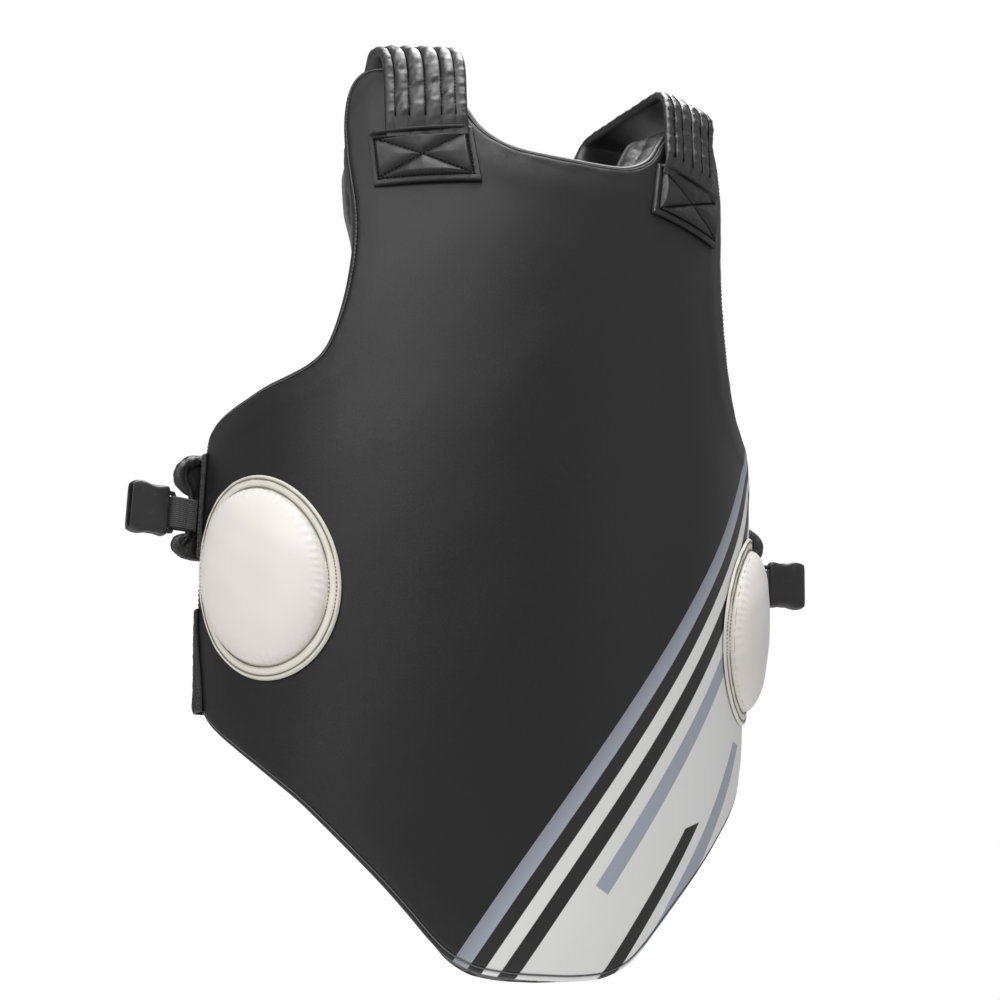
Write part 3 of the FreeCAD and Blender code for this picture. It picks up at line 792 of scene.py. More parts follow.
# ---------------------------------------------------------------- the pad
@dataclass
class PadShell:
    """The padded body: printed front, creased edge gusset and lining in one closed skin."""

    palette: Palette
    steps: int = 6
    border: float = 20 * MM
    seam_drop: float = 4.5 * MM
    back_round: float = 12 * MM
    back_clear: float = 1.2 * MM
    loop: Array = field(init=False)
    inward: Array = field(init=False)

    def __post_init__(self) -> None:
        """Smooth flat outline of the whole pad."""
        half = np.array([(share * HALF_WIDTH, height * MM) for share, height in OUTLINE])
        left = half[1:-1][::-1] * np.array([-1.0, 1.0])
        self.loop = closed_spline(np.vstack([half, left]), self.steps)
        self.inward = inward_normals(self.loop)

    def flare(self, arc: Array, height: Array) -> Array:
        """How much farther the lining reaches than the cover round the armholes."""
        outside = smooth_ramp(np.abs(arc), 0.50 * HALF_WIDTH, 0.56 * HALF_WIDTH)
        along = smooth_ramp(height, 0.408, 0.470) * (1 - smooth_ramp(height, 0.610, 0.688))
        return np.sign(arc) * ARMHOLE_FLARE * outside * along

    def edge(self, flat: Array, depth: float) -> Array:
        """Flat positions on the line from cover edge to lining edge, at a depth."""
        share = np.clip(depth / DEPTH, 0.0, 1.0)
        arc, height = flat[..., 0], flat[..., 1]
        extra = self.flare(arc, height) * share * BARREL_RADIUS / (radius_at(height) - DEPTH)
        return np.stack([arc + extra, height], -1)

    def fall(self, distance: Array, reach: float) -> Array:
        """How far a face rounds down towards its seam."""
        share = np.clip(1 - distance / reach, 0.0, 1.0)
        return self.seam_drop * (1 - np.sqrt(1 - np.minimum(share, 0.999) ** 2.2))

    def face_rings(self) -> Tuple[Array, Array]:
        """Flat rings from the middle to the edge and each ring's distance from the edge."""
        inner = self.loop + self.inward * self.border
        middle = np.array([0.0, 0.350])
        shares = 1 - (1 - np.linspace(0.03, 1.0, 34)) ** 1.25
        wide = middle + (inner[None] - middle) * shares[:, None, None]
        gaps = np.array([17.5, 15, 12.8, 10.8, 9, 7.5, 6.2, 5.2, 4.4, 3.8, 3.2, 2.6, 1.9, 1.2,
                         0.6, 0.2]) * MM
        near = self.loop[None] + self.inward[None] * gaps[:, None, None]
        return np.concatenate([wide, near]), np.concatenate([self.border + (1 - shares) * 0.2,
                                                             gaps])

    def front_lift(self, flat: Array, distance: Array) -> Array:
        """Height of the front off the barrel: rounded at the seam, with a sewn groove."""
        d = distance[:, None]
        arc, height = flat[..., 0], flat[..., 1]
        groove = 0.9 * MM * bell(d, 3.8 * MM, 1.1 * MM)
        swell = 0.8 * MM * bell(d, 24 * MM, 12 * MM)
        waves = 0.45 * MM * ripple(arc, height, 0.16, 1)
        sewn = 0.35 * MM * ripple(arc, height, 0.022, 2) * bell(d, 8 * MM, 6 * MM)
        return swell + waves + sewn - self.fall(d, 9 * MM) - groove - 0.8 * MM

    def gusset_rings(self) -> Tuple[Array, Array]:
        """Rings down the edge, from front seam to back seam, with folds between them."""
        length = np.cumsum(np.linalg.norm(np.diff(self.loop, axis=0, prepend=self.loop[-1:]),
                                          axis=1))
        rings, flats = [], []
        for share in np.linspace(0.0, 1.0, 26):
            depth = self.seam_drop + (DEPTH - 2 * self.seam_drop) * share
            puff = 3.4 * MM * (abs(math.sin(math.pi * 2.0 * share)) ** 0.7) - 1.0 * MM
            lip = 1.8 * MM * (bell(share, 0.0, 0.04) + bell(share, 1.0, 0.04))
            creases = ripple(length, np.full_like(length, share * 0.03), 0.045, 3, 6)
            pucker = ripple(length, np.full_like(length, share * 0.02), 0.013, 4, 5)
            calm = math.sin(math.pi * share) ** 0.5
            inset = 2.8 * MM - puff - lip + (2.0 * MM * creases + 1.1 * MM * pucker) * calm
            base = self.loop + self.inward * np.maximum(inset, 0.2 * MM)[:, None]
            flat = self.edge(base, depth)
            rings.append(on_front(flat[:, 0], flat[:, 1], -depth))
            flats.append(np.column_stack([base, np.full(len(base), -1.0)]))
        return np.stack(rings), np.stack(flats)

    def build(self) -> None:
        """Build the closed skin."""
        flat, distance = self.face_rings()
        near = smooth_ramp(-distance, -30 * MM, 0.0)[:, None, None]
        placed = flat + (self.edge(flat, self.seam_drop) - flat) * near
        front = on_front(placed[..., 0], placed[..., 1], self.front_lift(flat, distance))
        side, side_flat = self.gusset_rings()
        back_flat, back_distance = flat[::-1], distance[::-1]
        reach = smooth_ramp(-back_distance, -0.10, 0.0)[:, None, None]
        placed = back_flat + (self.edge(back_flat, DEPTH) - back_flat) * reach
        channel = 1.6 * MM * np.abs(np.cos(math.pi * placed[..., 1] / 0.055)) ** 0.35
        quilt = channel * smooth_ramp(back_distance, 0.004, 0.02)[:, None]
        rise = self.fall(back_distance[:, None], self.back_round)
        back = on_front(placed[..., 0], placed[..., 1], -DEPTH + rise + self.back_clear - quilt)
        none = np.full(flat.shape[:2] + (1,), -1.0)
        fields = np.concatenate([np.concatenate([flat, none], -1), side_flat,
                                 np.concatenate([back_flat, none], -1)])
        slots = [0] * len(front) + [1] * (len(side) - 1) + [2] * (len(back) + 1)
        finishes = [self.palette[name]
                    for name in ("printed_cover", "gusset_leather", "lining_cloth")]
        skin = ring_stack("pad_shell", np.concatenate([front, side, back]), finishes, slots,
                          fields)
        carry(skin, "pad", "black_leather", "front_cover", "impact_foam", "comfort_foam",
              "back_lining", "edge_gusset")

    def dress(self) -> None:
        """Sew the stitch rows along the front and back seams."""
        gap = 3.8 * MM
        line = self.loop + self.inward * gap
        self.sew("front_seam_stitches", self.edge(line, self.seam_drop),
                 self.front_lift(line[None], np.array([gap]))[0], 1.0, 3.7 * MM)
        gap = 4.2 * MM
        line = self.loop + self.inward * gap
        lift = -DEPTH + self.fall(gap, self.back_round) + self.back_clear
        self.sew("back_seam_stitches", self.edge(line, DEPTH), np.full(len(line), lift), -1.0,
                 3.8 * MM)

    def sew(self, name: str, flat: Array, heights: Array, out: float, pitch: float) -> None:
        """One stitch row round the pad, on the front or the back."""
        angle = flat[:, 0] / BARREL_RADIUS
        normal = np.stack([np.sin(angle), -np.cos(angle), 0 * angle], -1) * out
        line = on_front(flat[:, 0], flat[:, 1], heights)
        # The light grey of these seam stitches is a painted highlight.
        carry(stitch_row(name, [seam(line, normal, pitch, raised=0.5 * MM)],
                         self.palette["seam_thread"], 2.6 * MM, 0.55 * MM), "pad")


@dataclass
class Target:
    """Round raised target low on one side: sewn rim and stuffed dome."""

    palette: Palette
    side: Side
    arc: float = 0.2400
    height: float = 0.282
    radius: float = 77.5 * MM
    rim: float = 11 * MM
    rise: float = 15.5 * MM
    lean: float = 0.20
    points: int = 288

    @property
    def dome_radius(self) -> float:
        """Radius of the stuffed dome inside the rim."""
        return self.radius - self.rim

    def place(self, reach: Array, angle: Array, lift: Array) -> Array:
        """Points of the target from polar position and lift."""
        across = reach * np.cos(angle) * 0.925
        up = reach * np.sin(angle) * 1.005
        arc = self.side.value * (self.arc - across + self.lean * up)
        return on_front(arc, self.height + up, lift)

    def profile(self, reach: Array) -> Array:
        """Height of the leather off the cover by distance from the middle."""
        inside = np.clip(reach / self.dome_radius, 0.0, 1.0)
        dome = self.rise * (1 - inside ** 2.9) ** 0.56
        rim = 2.1 * MM - 0.8 * MM * bell(reach, self.radius - 3.2 * MM, 1.1 * MM)
        rim = rim - 0.9 * MM * bell(reach, self.dome_radius + 1.4 * MM, 1.3 * MM)
        drop = smooth_ramp(reach, self.radius - 1.2 * MM, self.radius)
        return (rim + dome) * (1 - drop) + 0.15 * MM * drop

    def build(self) -> None:
        """Build the dome and the rim as one closed sewn piece each."""
        word = self.side.word
        angle = circle(self.points)[None]
        dome_edge = self.dome_radius / MM
        reach = np.concatenate([np.linspace(2.0, 50, 18), np.linspace(51, dome_edge - 0.6, 26),
                                [dome_edge, dome_edge + 0.5]])[:, None] * MM
        pucker = 0.35 * MM * np.sin(angle * 61 + 2 * np.sin(angle * 7)) * bell(
            reach, self.dome_radius - 3 * MM, 4 * MM)
        sag = 0.8 * MM * ripple(reach * np.cos(angle), reach * np.sin(angle), 0.09, 11)
        lift = self.profile(reach) + pucker + sag * (reach < self.dome_radius * 0.97)
        under_reach = np.array([dome_edge, 40.0, 10.0])[:, None] * MM
        under = self.place(under_reach, angle, 0.3 * MM + 0 * under_reach)
        dome = ring_stack(word + "_target_dome",
                          np.concatenate([self.place(reach, angle, lift), under]),
                          [self.palette["white_leather"]])
        carry(dome, "pad", "white_leather", word + "_target_cover", word + "_target_foam")
        rim_edge = self.radius / MM
        reach = np.concatenate([np.linspace(dome_edge - 1.0, rim_edge - 1.5, 22),
                                rim_edge - np.array([1.1, 0.8, 0.5, 0.25, 0.0])])[:, None] * MM
        wave = 0.35 * MM * ripple(angle * self.radius, reach * 0.2, 0.020, 12)
        top = self.place(reach, angle, self.profile(reach) + wave * (
            reach < self.radius - 1.0 * MM))
        low = self.place(reach[::-1], angle, 0.12 * MM + 0 * reach)
        rim = closed_grid(word + "_target_rim_leather", np.concatenate([top, low]),
                          self.palette["rim_leather"])
        carry(rim, "pad", "white_leather", word + "_target_rim")

    def dress(self) -> None:
        """Two stitch rows round the rim."""
        angle = np.linspace(0, 2 * math.pi, 720, endpoint=False)
        for label, reach in (("outer", self.radius - 3.2 * MM),
                             ("inner", self.dome_radius + 1.4 * MM)):
            reach = np.full_like(angle, reach)
            lift = self.profile(reach)
            line = self.place(reach, angle, lift)
            out = self.place(reach, angle, lift + 1.0) - line
            # The mid grey of these rim stitches is painted stitch hole shade over cream thread.
            carry(stitch_row("%s_target_%s_stitches" % (self.side.word, label),
                             [seam(line, out, 3.2 * MM, raised=0.4 * MM)],
                             self.palette["cream_thread"], 1.9 * MM), "pad")


@dataclass
class StrapPatch:
    """Sewn patch with a crossed box that anchors one shoulder strap."""

    palette: Palette
    side: Side
    arc: float = 0.121
    base: float = 0.580
    width: float = 86 * MM
    height: float = 46 * MM
    tilt: float = 3.0
    shear: float = 0.20
    hem: float = 5.4 * MM

    def world(self, u: Array, v: Array, lift: Array) -> Array:
        """Points from patch coordinates in metres, u towards the side and v up."""
        turn = math.radians(self.tilt)
        along = u * math.cos(turn) + v * self.shear
        up = v * math.cos(turn) - u * math.sin(turn) * 0.6
        return on_front(self.side.value * (self.arc + along), self.base + self.height / 2 + up,
                        lift)

    def lift(self, u: Array, v: Array) -> Array:
        """Height of the leather: flat hem, stitch groove and four puffed triangles."""
        x, y = u / (self.width / 2), v / (self.height / 2)
        border = np.minimum((1 - np.abs(x)) * self.width / 2, (1 - np.abs(y)) * self.height / 2)
        cross = np.abs(np.abs(x / 0.84) - np.abs(y / 0.76)) * 14 * MM
        inside = smooth_ramp(border, 5.0 * MM, 8.5 * MM)
        puff = 4.2 * MM * (1 - np.exp(-cross / (3.4 * MM))) * inside
        groove = 1.0 * MM * bell(border, self.hem, 0.9 * MM)
        fold = 0.4 * MM * ripple(u, v, 0.03, 21 + self.side.value)
        edge = smooth_ramp(border, 0.0, 0.9 * MM)
        top_roll = 4.2 * MM * smooth_ramp(y, 0.84, 0.90) * (1 - smooth_ramp(np.abs(x), 0.80, 0.97))
        return (3.0 * MM + puff - groove + fold * inside + top_roll) * (0.15 + 0.85 * edge)

    def build(self) -> None:
        """Closed slab with the puffed top."""
        nu, nv = 131, 79
        u, v = (np.sign(t) * (1 - (1 - np.abs(t)) ** 1.15) * size / 2
                for t, size in ((np.linspace(-1, 1, nu), self.width),
                                (np.linspace(-1, 1, nv), self.height)))
        uu, vv = np.meshgrid(u, v)
        top = self.world(uu, vv, self.lift(uu, vv))
        low = self.world(uu, vv, 0.1 * MM + 0 * uu)
        points = np.concatenate([top.reshape(-1, 3), low.reshape(-1, 3)])
        faces = grid_faces(nv, nu, False, False)
        shift = nu * nv
        ring = np.concatenate([np.arange(nu), np.arange(1, nv) * nu + nu - 1,
                               (nv - 1) * nu + np.arange(nu - 2, -1, -1),
                               np.arange(nv - 2, 0, -1) * nu])
        after = np.roll(ring, -1)
        walls = np.stack([after, ring, ring + shift, after + shift], -1)
        quads = np.concatenate([faces, faces[:, ::-1] + shift, walls])
        patch = make_object(self.side.word + "_patch", points, quads.tolist(),
                            [self.palette["patch_leather"]])
        carry(patch, "pad", "black_leather", self.side.word + "_strap_patch")

    def dress(self) -> None:
        """Stitches round the box and along its diagonals."""
        a, b = self.width / 2 - self.hem, self.height / 2 - self.hem
        corners = np.array([[-a, -b], [a, -b], [a, b], [-a, b]])
        seams = []
        for corner, closed in ((corners, True), (corners[[0, 2]], False),
                               (corners[[1, 3]], False)):
            flat = resample(resample(corner, 1.0 * MM, closed), 3.1 * MM, closed)
            near = flat + np.gradient(flat, axis=0) * 0.1
            lift = self.lift(flat[:, 0], flat[:, 1]) + 0.5 * MM
            base = self.world(flat[:, 0], flat[:, 1], lift)
            high = self.world(flat[:, 0], flat[:, 1], 0.5 + 0 * flat[:, 0])
            seams.append((base, self.world(near[:, 0], near[:, 1], lift) - base, high - base))
        carry(stitch_row(self.side.word + "_patch_stitches", seams,
                         self.palette["black_thread"], 2.0 * MM, 0.48 * MM), "pad")


@dataclass
class ShoulderStrap:
    """Quilted strap from its patch over the shoulder and down to the yoke."""

    palette: Palette
    side: Side
    width: float = 64 * MM
    wall: float = 8.5 * MM
    lean: float = 4 * MM
    root_arc: float = 0.119
    root_height: float = 0.6276
    root_rise: float = 0.044
    crest_z: float = 4.5 * MM
    lines: Tuple[float, ...] = (0.135, 0.305, 0.50, 0.695, 0.865)

    def path(self) -> Tuple[Array, Array, Array]:
        """Middle line, path direction and width direction along the strap."""
        angle = self.root_arc / BARREL_RADIUS
        knots: List[Tuple[float, ...]] = []
        for share, lift in ((-0.22, 1.6), (-0.10, 2.4), (0.03, 4.4), (0.12, 5.0), (0.5, 5.0),
                            (1.0, 5.0)):
            spot = on_front(np.array(self.root_arc + share * self.lean),
                            np.array(self.root_height + share * self.root_rise),
                            np.array(lift * MM))
            knots.append((*map(float, spot), angle))
        front = knots[-1]
        bend = self.crest_z - front[2]
        for share in (0.2, 0.4, 0.6, 0.8, 1.0):
            turn = share * math.pi / 2
            knots.append((front[0] + self.lean * share, front[1] + bend * (1 - math.cos(turn)),
                          front[2] + bend * math.sin(turn), angle * (1 - 0.3 * share)))
        crest = knots[-1]
        for share in (0.3, 0.6, 0.86):
            knots.append((crest[0] + (FOLD.x - crest[0]) * share,
                          crest[1] + (FOLD.y - crest[1]) * share,
                          self.crest_z + (FOLD.z - self.crest_z) * share,
                          angle * 0.7 * (1 - share)))
        knots.append((FOLD.x, FOLD.y - 2 * MM, FOLD.z - 1.5 * MM, 0.0))
        for drop, inward in ((0.012, 0.004), (0.040, 0.015), (0.070, 0.026), (0.100, 0.037),
                             (0.126, 0.046)):
            knots.append((FOLD.x - inward, FOLD.y, FOLD.z - drop, 0.0))
        smooth = smooth_route(np.array(knots), 260, 15)
        smooth[:, 0] *= self.side.value
        turn = smooth[:, 3]
        across = np.stack([np.cos(turn), self.side.value * np.sin(turn), 0 * turn], -1)
        return smooth[:, :3], unit(np.gradient(smooth[:, :3], axis=0)), across

    def channel(self, share: Array, run: Array) -> Array:
        """Height of the quilting above the flat strap, by share of the width."""
        top = np.zeros(np.broadcast(share, run).shape)
        marks = (0.0,) + self.lines + (1.0,)
        for low, high in zip(marks[:-1], marks[1:]):
            inside = (share >= low) & (share <= high)
            x = np.clip((share - low) / (high - low), 0, 1)
            tall = 1.3 * MM if low in (0.0, marks[-2]) else 2.3 * MM
            top = np.where(inside, tall * (np.sin(math.pi * x) ** 0.55), top)
        binding = 1 - smooth_ramp(share, 0.12, 0.15) + smooth_ramp(share, 0.85, 0.88)
        folds = ripple(run, share * 0.02, 0.010, 31, 5) * 0.75 * MM * binding
        puckers = ripple(run, share * 0.05, 0.024, 32 + self.side.value, 5)
        return top * (1 + 0.62 * puckers * (1 - binding)) + folds

    def build(self) -> None:
        """Closed sweep of the quilted section, with its stitches."""
        word = self.side.word
        centre, along, across = self.path()
        normal = unit(np.cross(along, across))
        outward = normal * np.sign(normal[20] @ np.array([0.0, -1.0, 0.0]))
        run = arc_length(centre)
        top_share = np.linspace(0, 1, 73)
        under_share = np.linspace(1, 0, 20)[1:-1]
        half = self.wall / 2
        top = half * 0.55 * round_off(top_share * 2 - 1, 14)[None] + self.channel(
            top_share[None], run[:, None])
        under = np.broadcast_to(-half * round_off(under_share * 2 - 1, 10)[None],
                                (len(run), len(under_share)))
        thin = 0.25 + 0.75 * smooth_ramp(run, 4 * MM, 20 * MM)
        height = np.concatenate([top, under], 1) * thin[:, None]
        place = (np.concatenate([top_share, under_share]) - 0.5) * self.width
        loops = (centre[:, None] + across[:, None] * place[None, :, None]
                 + outward[:, None] * height[..., None])
        strap = ring_stack(word + "_strap", loops, [self.palette["strap_leather"]])
        keep = run > 16 * MM
        lifted = centre + outward * (half * 0.55 + 0.6 * MM)
        seams = [seam((lifted + across * (share - 0.5) * self.width)[keep], outward[keep],
                      3.3 * MM, False) for share in self.lines]
        row = stitch_row(word + "_strap_stitches", seams, self.palette["black_thread"],
                         2.2 * MM, 0.50 * MM)
        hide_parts(word + "_front_strap", word + "_back_strap")
        for piece in (row, strap):
            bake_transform(piece)


@dataclass
class Yoke:
    """Padded leather plate that joins the two straps behind the shoulders."""

    palette: Palette
    narrow: float = 74 * MM
    seam_gap: float = 6.2 * MM

    def build(self) -> None:
        """Puffed plate with rounded corners, leather outside and cloth inside."""
        low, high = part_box("yoke_outer")
        inner_low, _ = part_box("yoke_padding")
        top, bottom, wide, narrow = high.z + 8 * MM, low.z + 1 * MM, high.x, self.narrow
        waist, half_way = (wide + narrow) / 2 + 1 * MM, (top + bottom) / 2
        corners = np.array([[-narrow, bottom], [0, bottom - 1 * MM], [narrow, bottom],
                            [waist, half_way], [wide, top], [40 * MM, top - 3 * MM],
                            [0, top - 7 * MM], [-40 * MM, top - 3 * MM], [-wide, top],
                            [-waist, half_way]])
        loop = closed_spline(resample(corners, 9 * MM), 5)
        shares = np.array([0.06, 0.2, 0.35, 0.5, 0.65, 0.78, 0.88])
        gaps = np.array([11, 9, 7.5, 6.2, 5, 4, 3, 2.0, 1.2, 0.5, 0.0]) * MM
        flat, distance = shrunk_rings(loop, loop.mean(0), 13 * MM, shares, gaps, 0.05)
        middle = (inner_low.y + high.y) / 2
        bulge = (high.y - inner_low.y) / 2 + 0.5 * MM
        shape = np.sqrt(1 - np.clip(1 - distance / (9 * MM), 0, 1) ** 2)
        groove = 1.0 * MM * bell(distance, self.seam_gap, 1.0 * MM)
        rib = 0.8 * MM * np.abs(np.cos(math.pi * (flat[..., 1] - bottom) / 0.022)) ** 0.5
        rib = rib * smooth_ramp(distance, 7 * MM, 14 * MM)
        outer = np.stack([flat[..., 0], middle + (bulge * shape - groove - rib),
                          flat[..., 1]], -1)
        inner = np.stack([flat[..., 0], middle - bulge * shape + 0 * rib, flat[..., 1]], -1)
        slots = [0] * len(outer) + [1] * len(inner)
        yoke = ring_stack("yoke_plate", np.concatenate([outer, inner[::-1][1:]]),
                          [self.palette["strap_leather"], self.palette["lining_cloth"]], slots)
        carry(yoke, "harness", "strap_leather", "yoke_outer", "yoke_padding")
        line = loop + inward_normals(loop) * self.seam_gap
        world = np.stack([line[:, 0], np.full(len(line), middle + bulge - 0.8 * MM),
                          line[:, 1]], -1)
        out = np.tile([0.0, 1.0, 0.0], (len(line), 1))
        carry(stitch_row("yoke_stitches", [seam(world, out, 3.4 * MM)],
                         self.palette["black_thread"]), "harness")


@dataclass
class SideHardware:
    """Tabs, webbing loop and buckle socket on one side."""

    palette: Palette
    side: Side
    tab_height: float = 0.349
    buckle_height: float = 0.341
    band_height: float = 0.2285
    bar_reach: float = 20 * MM
    sew: float = 2.6 * MM
    # Outlines (outwards, up) of the tabs, in mm.
    upper: Tuple = ((-40, -36), (-10, -40), (0, -41), (8, -38), (15, -33), (10, -27), (8, -18),
                    (8, 6), (10, 12), (15, 18), (15, 28), (8, 38), (0, 41), (-10, 40),
                    (-40, 36))
    lower: Tuple = ((-41, -38), (-4, -39.2), (-2.5, -34), (-2.5, 34), (-4, 39.2), (-41, 38))
    # Rolled corners of the buckle tab: places (outwards, up, off the face) and radii, in mm.
    rolls: Tuple = (
        ("high", ((-14, 37, 3.5), (-2, 38, 4.0), (8, 35, 4.0), (16, 27, 3.6), (17, 19, 3.4),
                  (11, 12, 3.2), (2, 8, 3.0)), (3.2, 4.4, 5.2, 5.4, 4.6, 3.6, 2.4)),
        ("inner", ((-12, 31, 4.6), (0, 31.5, 5.2), (8, 27, 5.4), (11, 20, 5.2), (6, 13, 4.8)),
         (2.2, 3.0, 3.4, 3.2, 2.2)),
        ("low", ((-14, -37, 3.5), (-2, -38, 4.0), (8, -37, 4.0), (15, -34, 3.6), (16, -30, 3.4),
                 (11, -26, 3.2), (2, -24, 3.0)), (3.2, 4.2, 4.8, 4.8, 4.0, 3.4, 2.4)),
    )
    # Socket stations: place outwards in mm, share of the width and share of the thickness.
    stations: Tuple = (
        (25.4, 0.84, 0.66), (25.6, 0.92, 0.84), (27.0, 0.97, 0.96), (30.0, 0.99, 1.00),
        (38.0, 1.00, 1.02), (46.0, 1.02, 1.03), (51.0, 1.00, 1.03), (54.0, 0.96, 1.00),
        (55.6, 0.92, 0.95), (56.2, 0.88, 0.86), (55.9, 0.84, 0.68), (54.0, 0.83, 0.62),
        (44.0, 0.82, 0.60), (31.0, 0.78, 0.58))
    outer_stations: int = 9

    def at(self, height: float, spots: Array) -> Array:
        """Points from (outwards, up, off the edge face) at a height on the cover edge."""
        angle = HALF_WIDTH / BARREL_RADIUS
        s = self.side.value
        out = np.array([s * math.sin(angle), -math.cos(angle), 0.0])
        away = np.array([s * math.cos(angle), math.sin(angle), 0.0])
        base = np.array([0.0, AXIS_BACK, height - SHOULDER_HEIGHT]) + out * float(
            radius_at(np.array(height)))
        return base + spots[..., :1] * out + spots[..., 1:2] * UP + spots[..., 2:3] * away

    def tab(self, name: str, height: float, outline: Sequence, wave: float,
            replaced: str) -> None:
        """Bound leather tab sewn on the edge face.

        Args:
            name: Piece name.
            height: Height of its middle above the bottom tip.
            outline: Closed outline (outwards, up) in mm.
            wave: How far the leather waves.
            replaced: CAD node it stands for.
        """
        loop = closed_spline(resample(np.array(outline) * MM, 6 * MM), 4)
        centre = np.array([loop[:, 0].mean() - 6 * MM, loop[:, 1].mean()])
        gaps = np.array([4.6, 3.9, 3.2, 2.5, 1.8, 1.1, 0.6, 0.2, 0.0]) * MM
        shares = np.array([0.05, 0.25, 0.45, 0.62, 0.76, 0.88])
        flat, distance = shrunk_rings(loop, centre, 5.2 * MM, shares, gaps, 0.03)
        bound = 2.4 * MM * np.sqrt(np.clip(1 - (distance / (2.4 * MM) - 1) ** 2, 0, 1))
        rough = 0.3 * MM * ripple(flat[..., 0], flat[..., 1], 0.010, 45)
        half = np.maximum(bound * (1 + 0.2 * rough / MM), 0.9 * MM * (distance > 2.4 * MM))
        middle = self.sew + wave * ripple(flat[..., 0], flat[..., 1], 0.035, 41)
        front, back = (np.concatenate([flat, (middle + offset)[..., None]], -1)
                       for offset in (half, -half))
        rings = self.at(height, np.concatenate([front, back[::-1][1:]]))
        made = ring_stack("%s_%s" % (self.side.word, name), rings,
                          [self.palette["patch_leather"]])
        carry(made, "pad", "black_leather", "%s_%s" % (self.side.word, replaced))

    def roll(self, name: str, route: Array, thick: Array) -> None:
        """Gathered, rolled corner of the buckle tab: a creased tube along a route."""
        length = arc_length(route)
        places = np.linspace(0, length[-1], 90)
        line = smooth_route(route, 90, 17)
        radius = np.interp(places, length, thick)
        ends = np.sqrt(np.clip(np.minimum(places, places[-1] - places) / (2.5 * MM), 0, 1))
        across = np.cross(unit(np.gradient(line, axis=0)), UP)
        turn = circle(40)[None]
        wide = (radius * ends)[:, None] * (
            1 + 0.16 * ripple(places[:, None], turn * 0.004, 0.010, 51, 5))
        loops = (line[:, None] + across[:, None] * (wide * np.cos(turn))[..., None]
                 + UP * (wide * 0.85 * np.sin(turn))[..., None])
        carry(ring_stack("%s_tab_roll_%s" % (self.side.word, name),
                         self.at(self.tab_height, loops), [self.palette["strap_leather"]]),
              "pad", "black_leather")

    def build(self) -> None:
        """Build the tabs, loop and socket."""
        self.tab("buckle_tab", self.tab_height, self.upper, 1.0 * MM, "side_tab")
        self.tab("band_tab", self.band_height, self.lower, 0.5 * MM, "lower_tab")
        for name, route, thick in self.rolls:
            self.roll(name, np.array(route) * MM, np.array(thick) * MM)
        self.edge_strip("upper_tab_strip", self.tab_height, 41 * MM, 9 * MM, 9 * MM)
        self.edge_strip("lower_tab_strip", self.band_height, 39.5 * MM, 17 * MM, 7 * MM)
        self.webbing()
        self.socket()
        self.bar_frame()
        self.windows()

    def edge_strip(self, name: str, height: float, half: float, low_width: float,
                   high_width: float) -> None:
        """Front part of a tab, sewn flat on the cover beside the edge.

        Args:
            name: Piece name.
            height: Height of its middle above the bottom tip.
            half: Half its length.
            low_width: Width at its lower end.
            high_width: Width at its upper end.
        """
        s = self.side.value
        start = HALF_WIDTH + 0.8 * MM
        up = np.linspace(-half, half, 110)
        share = np.linspace(0, 1, 30)
        width = low_width + (high_width - low_width) * smooth_ramp(up, -half, half)
        along = up[:, None] + 0 * share[None]
        end = np.clip((half - np.abs(along)) / (1.6 * MM), 0, 1)
        x = share[None] * width[:, None]
        body = 2.0 * MM * np.clip(1 - np.abs(share * 2 - 1) ** 8, 0, 1)[None]
        groove = 0.7 * MM * bell(width[:, None] - x, 2.6 * MM, 0.7 * MM)
        wave = 0.45 * MM * ripple(along, x, 0.016, 47, 5)
        lift_top = 0.4 * MM + (body - groove + wave * (body > 0.3 * MM)) * np.sqrt(end)
        wrap = smooth_ramp(-x, -6 * MM, 0.0) ** 2
        top = on_front(s * (start - x), height + along, lift_top - 6.0 * MM * wrap)
        low = on_front(s * (start - x), height + along, -0.8 * MM - 7.0 * MM * wrap + 0 * x)
        label = "%s_%s" % (self.side.word, name)
        strip = ring_stack(label, np.concatenate([top, low[:, ::-1]], 1),
                           [self.palette["patch_leather"]])
        carry(strip, "pad", "black_leather")
        arc = s * (start - np.clip(width - 2.6 * MM, 0, 1))
        lift = np.full_like(up, 1.9 * MM)
        line = on_front(arc, height + up, lift)
        out = on_front(arc, height + up, lift + 1.0) - line
        carry(stitch_row(label + "_stitches", [seam(line[4:-4], out[4:-4], 3.0 * MM, False)],
                         self.palette["seam_thread"], 2.0 * MM, 0.4 * MM), "pad")

    def webbing(self) -> None:
        """Webbing folded round the bar of the socket and sewn under the tab."""
        turn = np.linspace(-math.pi / 2, math.pi / 2, 18)
        reach = 3.15 * MM
        near = np.array([2.0, 6.0, 10.0, 14.0, 17.0]) * MM
        swell = reach * (1 - 0.25 * bell(near, 9 * MM, 4 * MM))
        path = np.concatenate([
            np.stack([near, 0 * near, -swell], -1),
            np.stack([self.bar_reach + reach * np.cos(turn), 0 * turn, reach * np.sin(turn)],
                     -1),
            np.stack([near, 0 * near, swell], -1)[::-1]])
        path[:, 2] += self.sew
        dense = resample(path, 0.8 * MM, False)
        word = self.side.word
        loop = ribbon(word + "_webbing_fold", self.at(self.buckle_height, dense), UP,
                      WEBBING_WIDTH, WEBBING_WALL, self.palette["webbing"], 0.15 * MM)
        carry(loop, "pad", "webbing", word + "_webbing_loop")

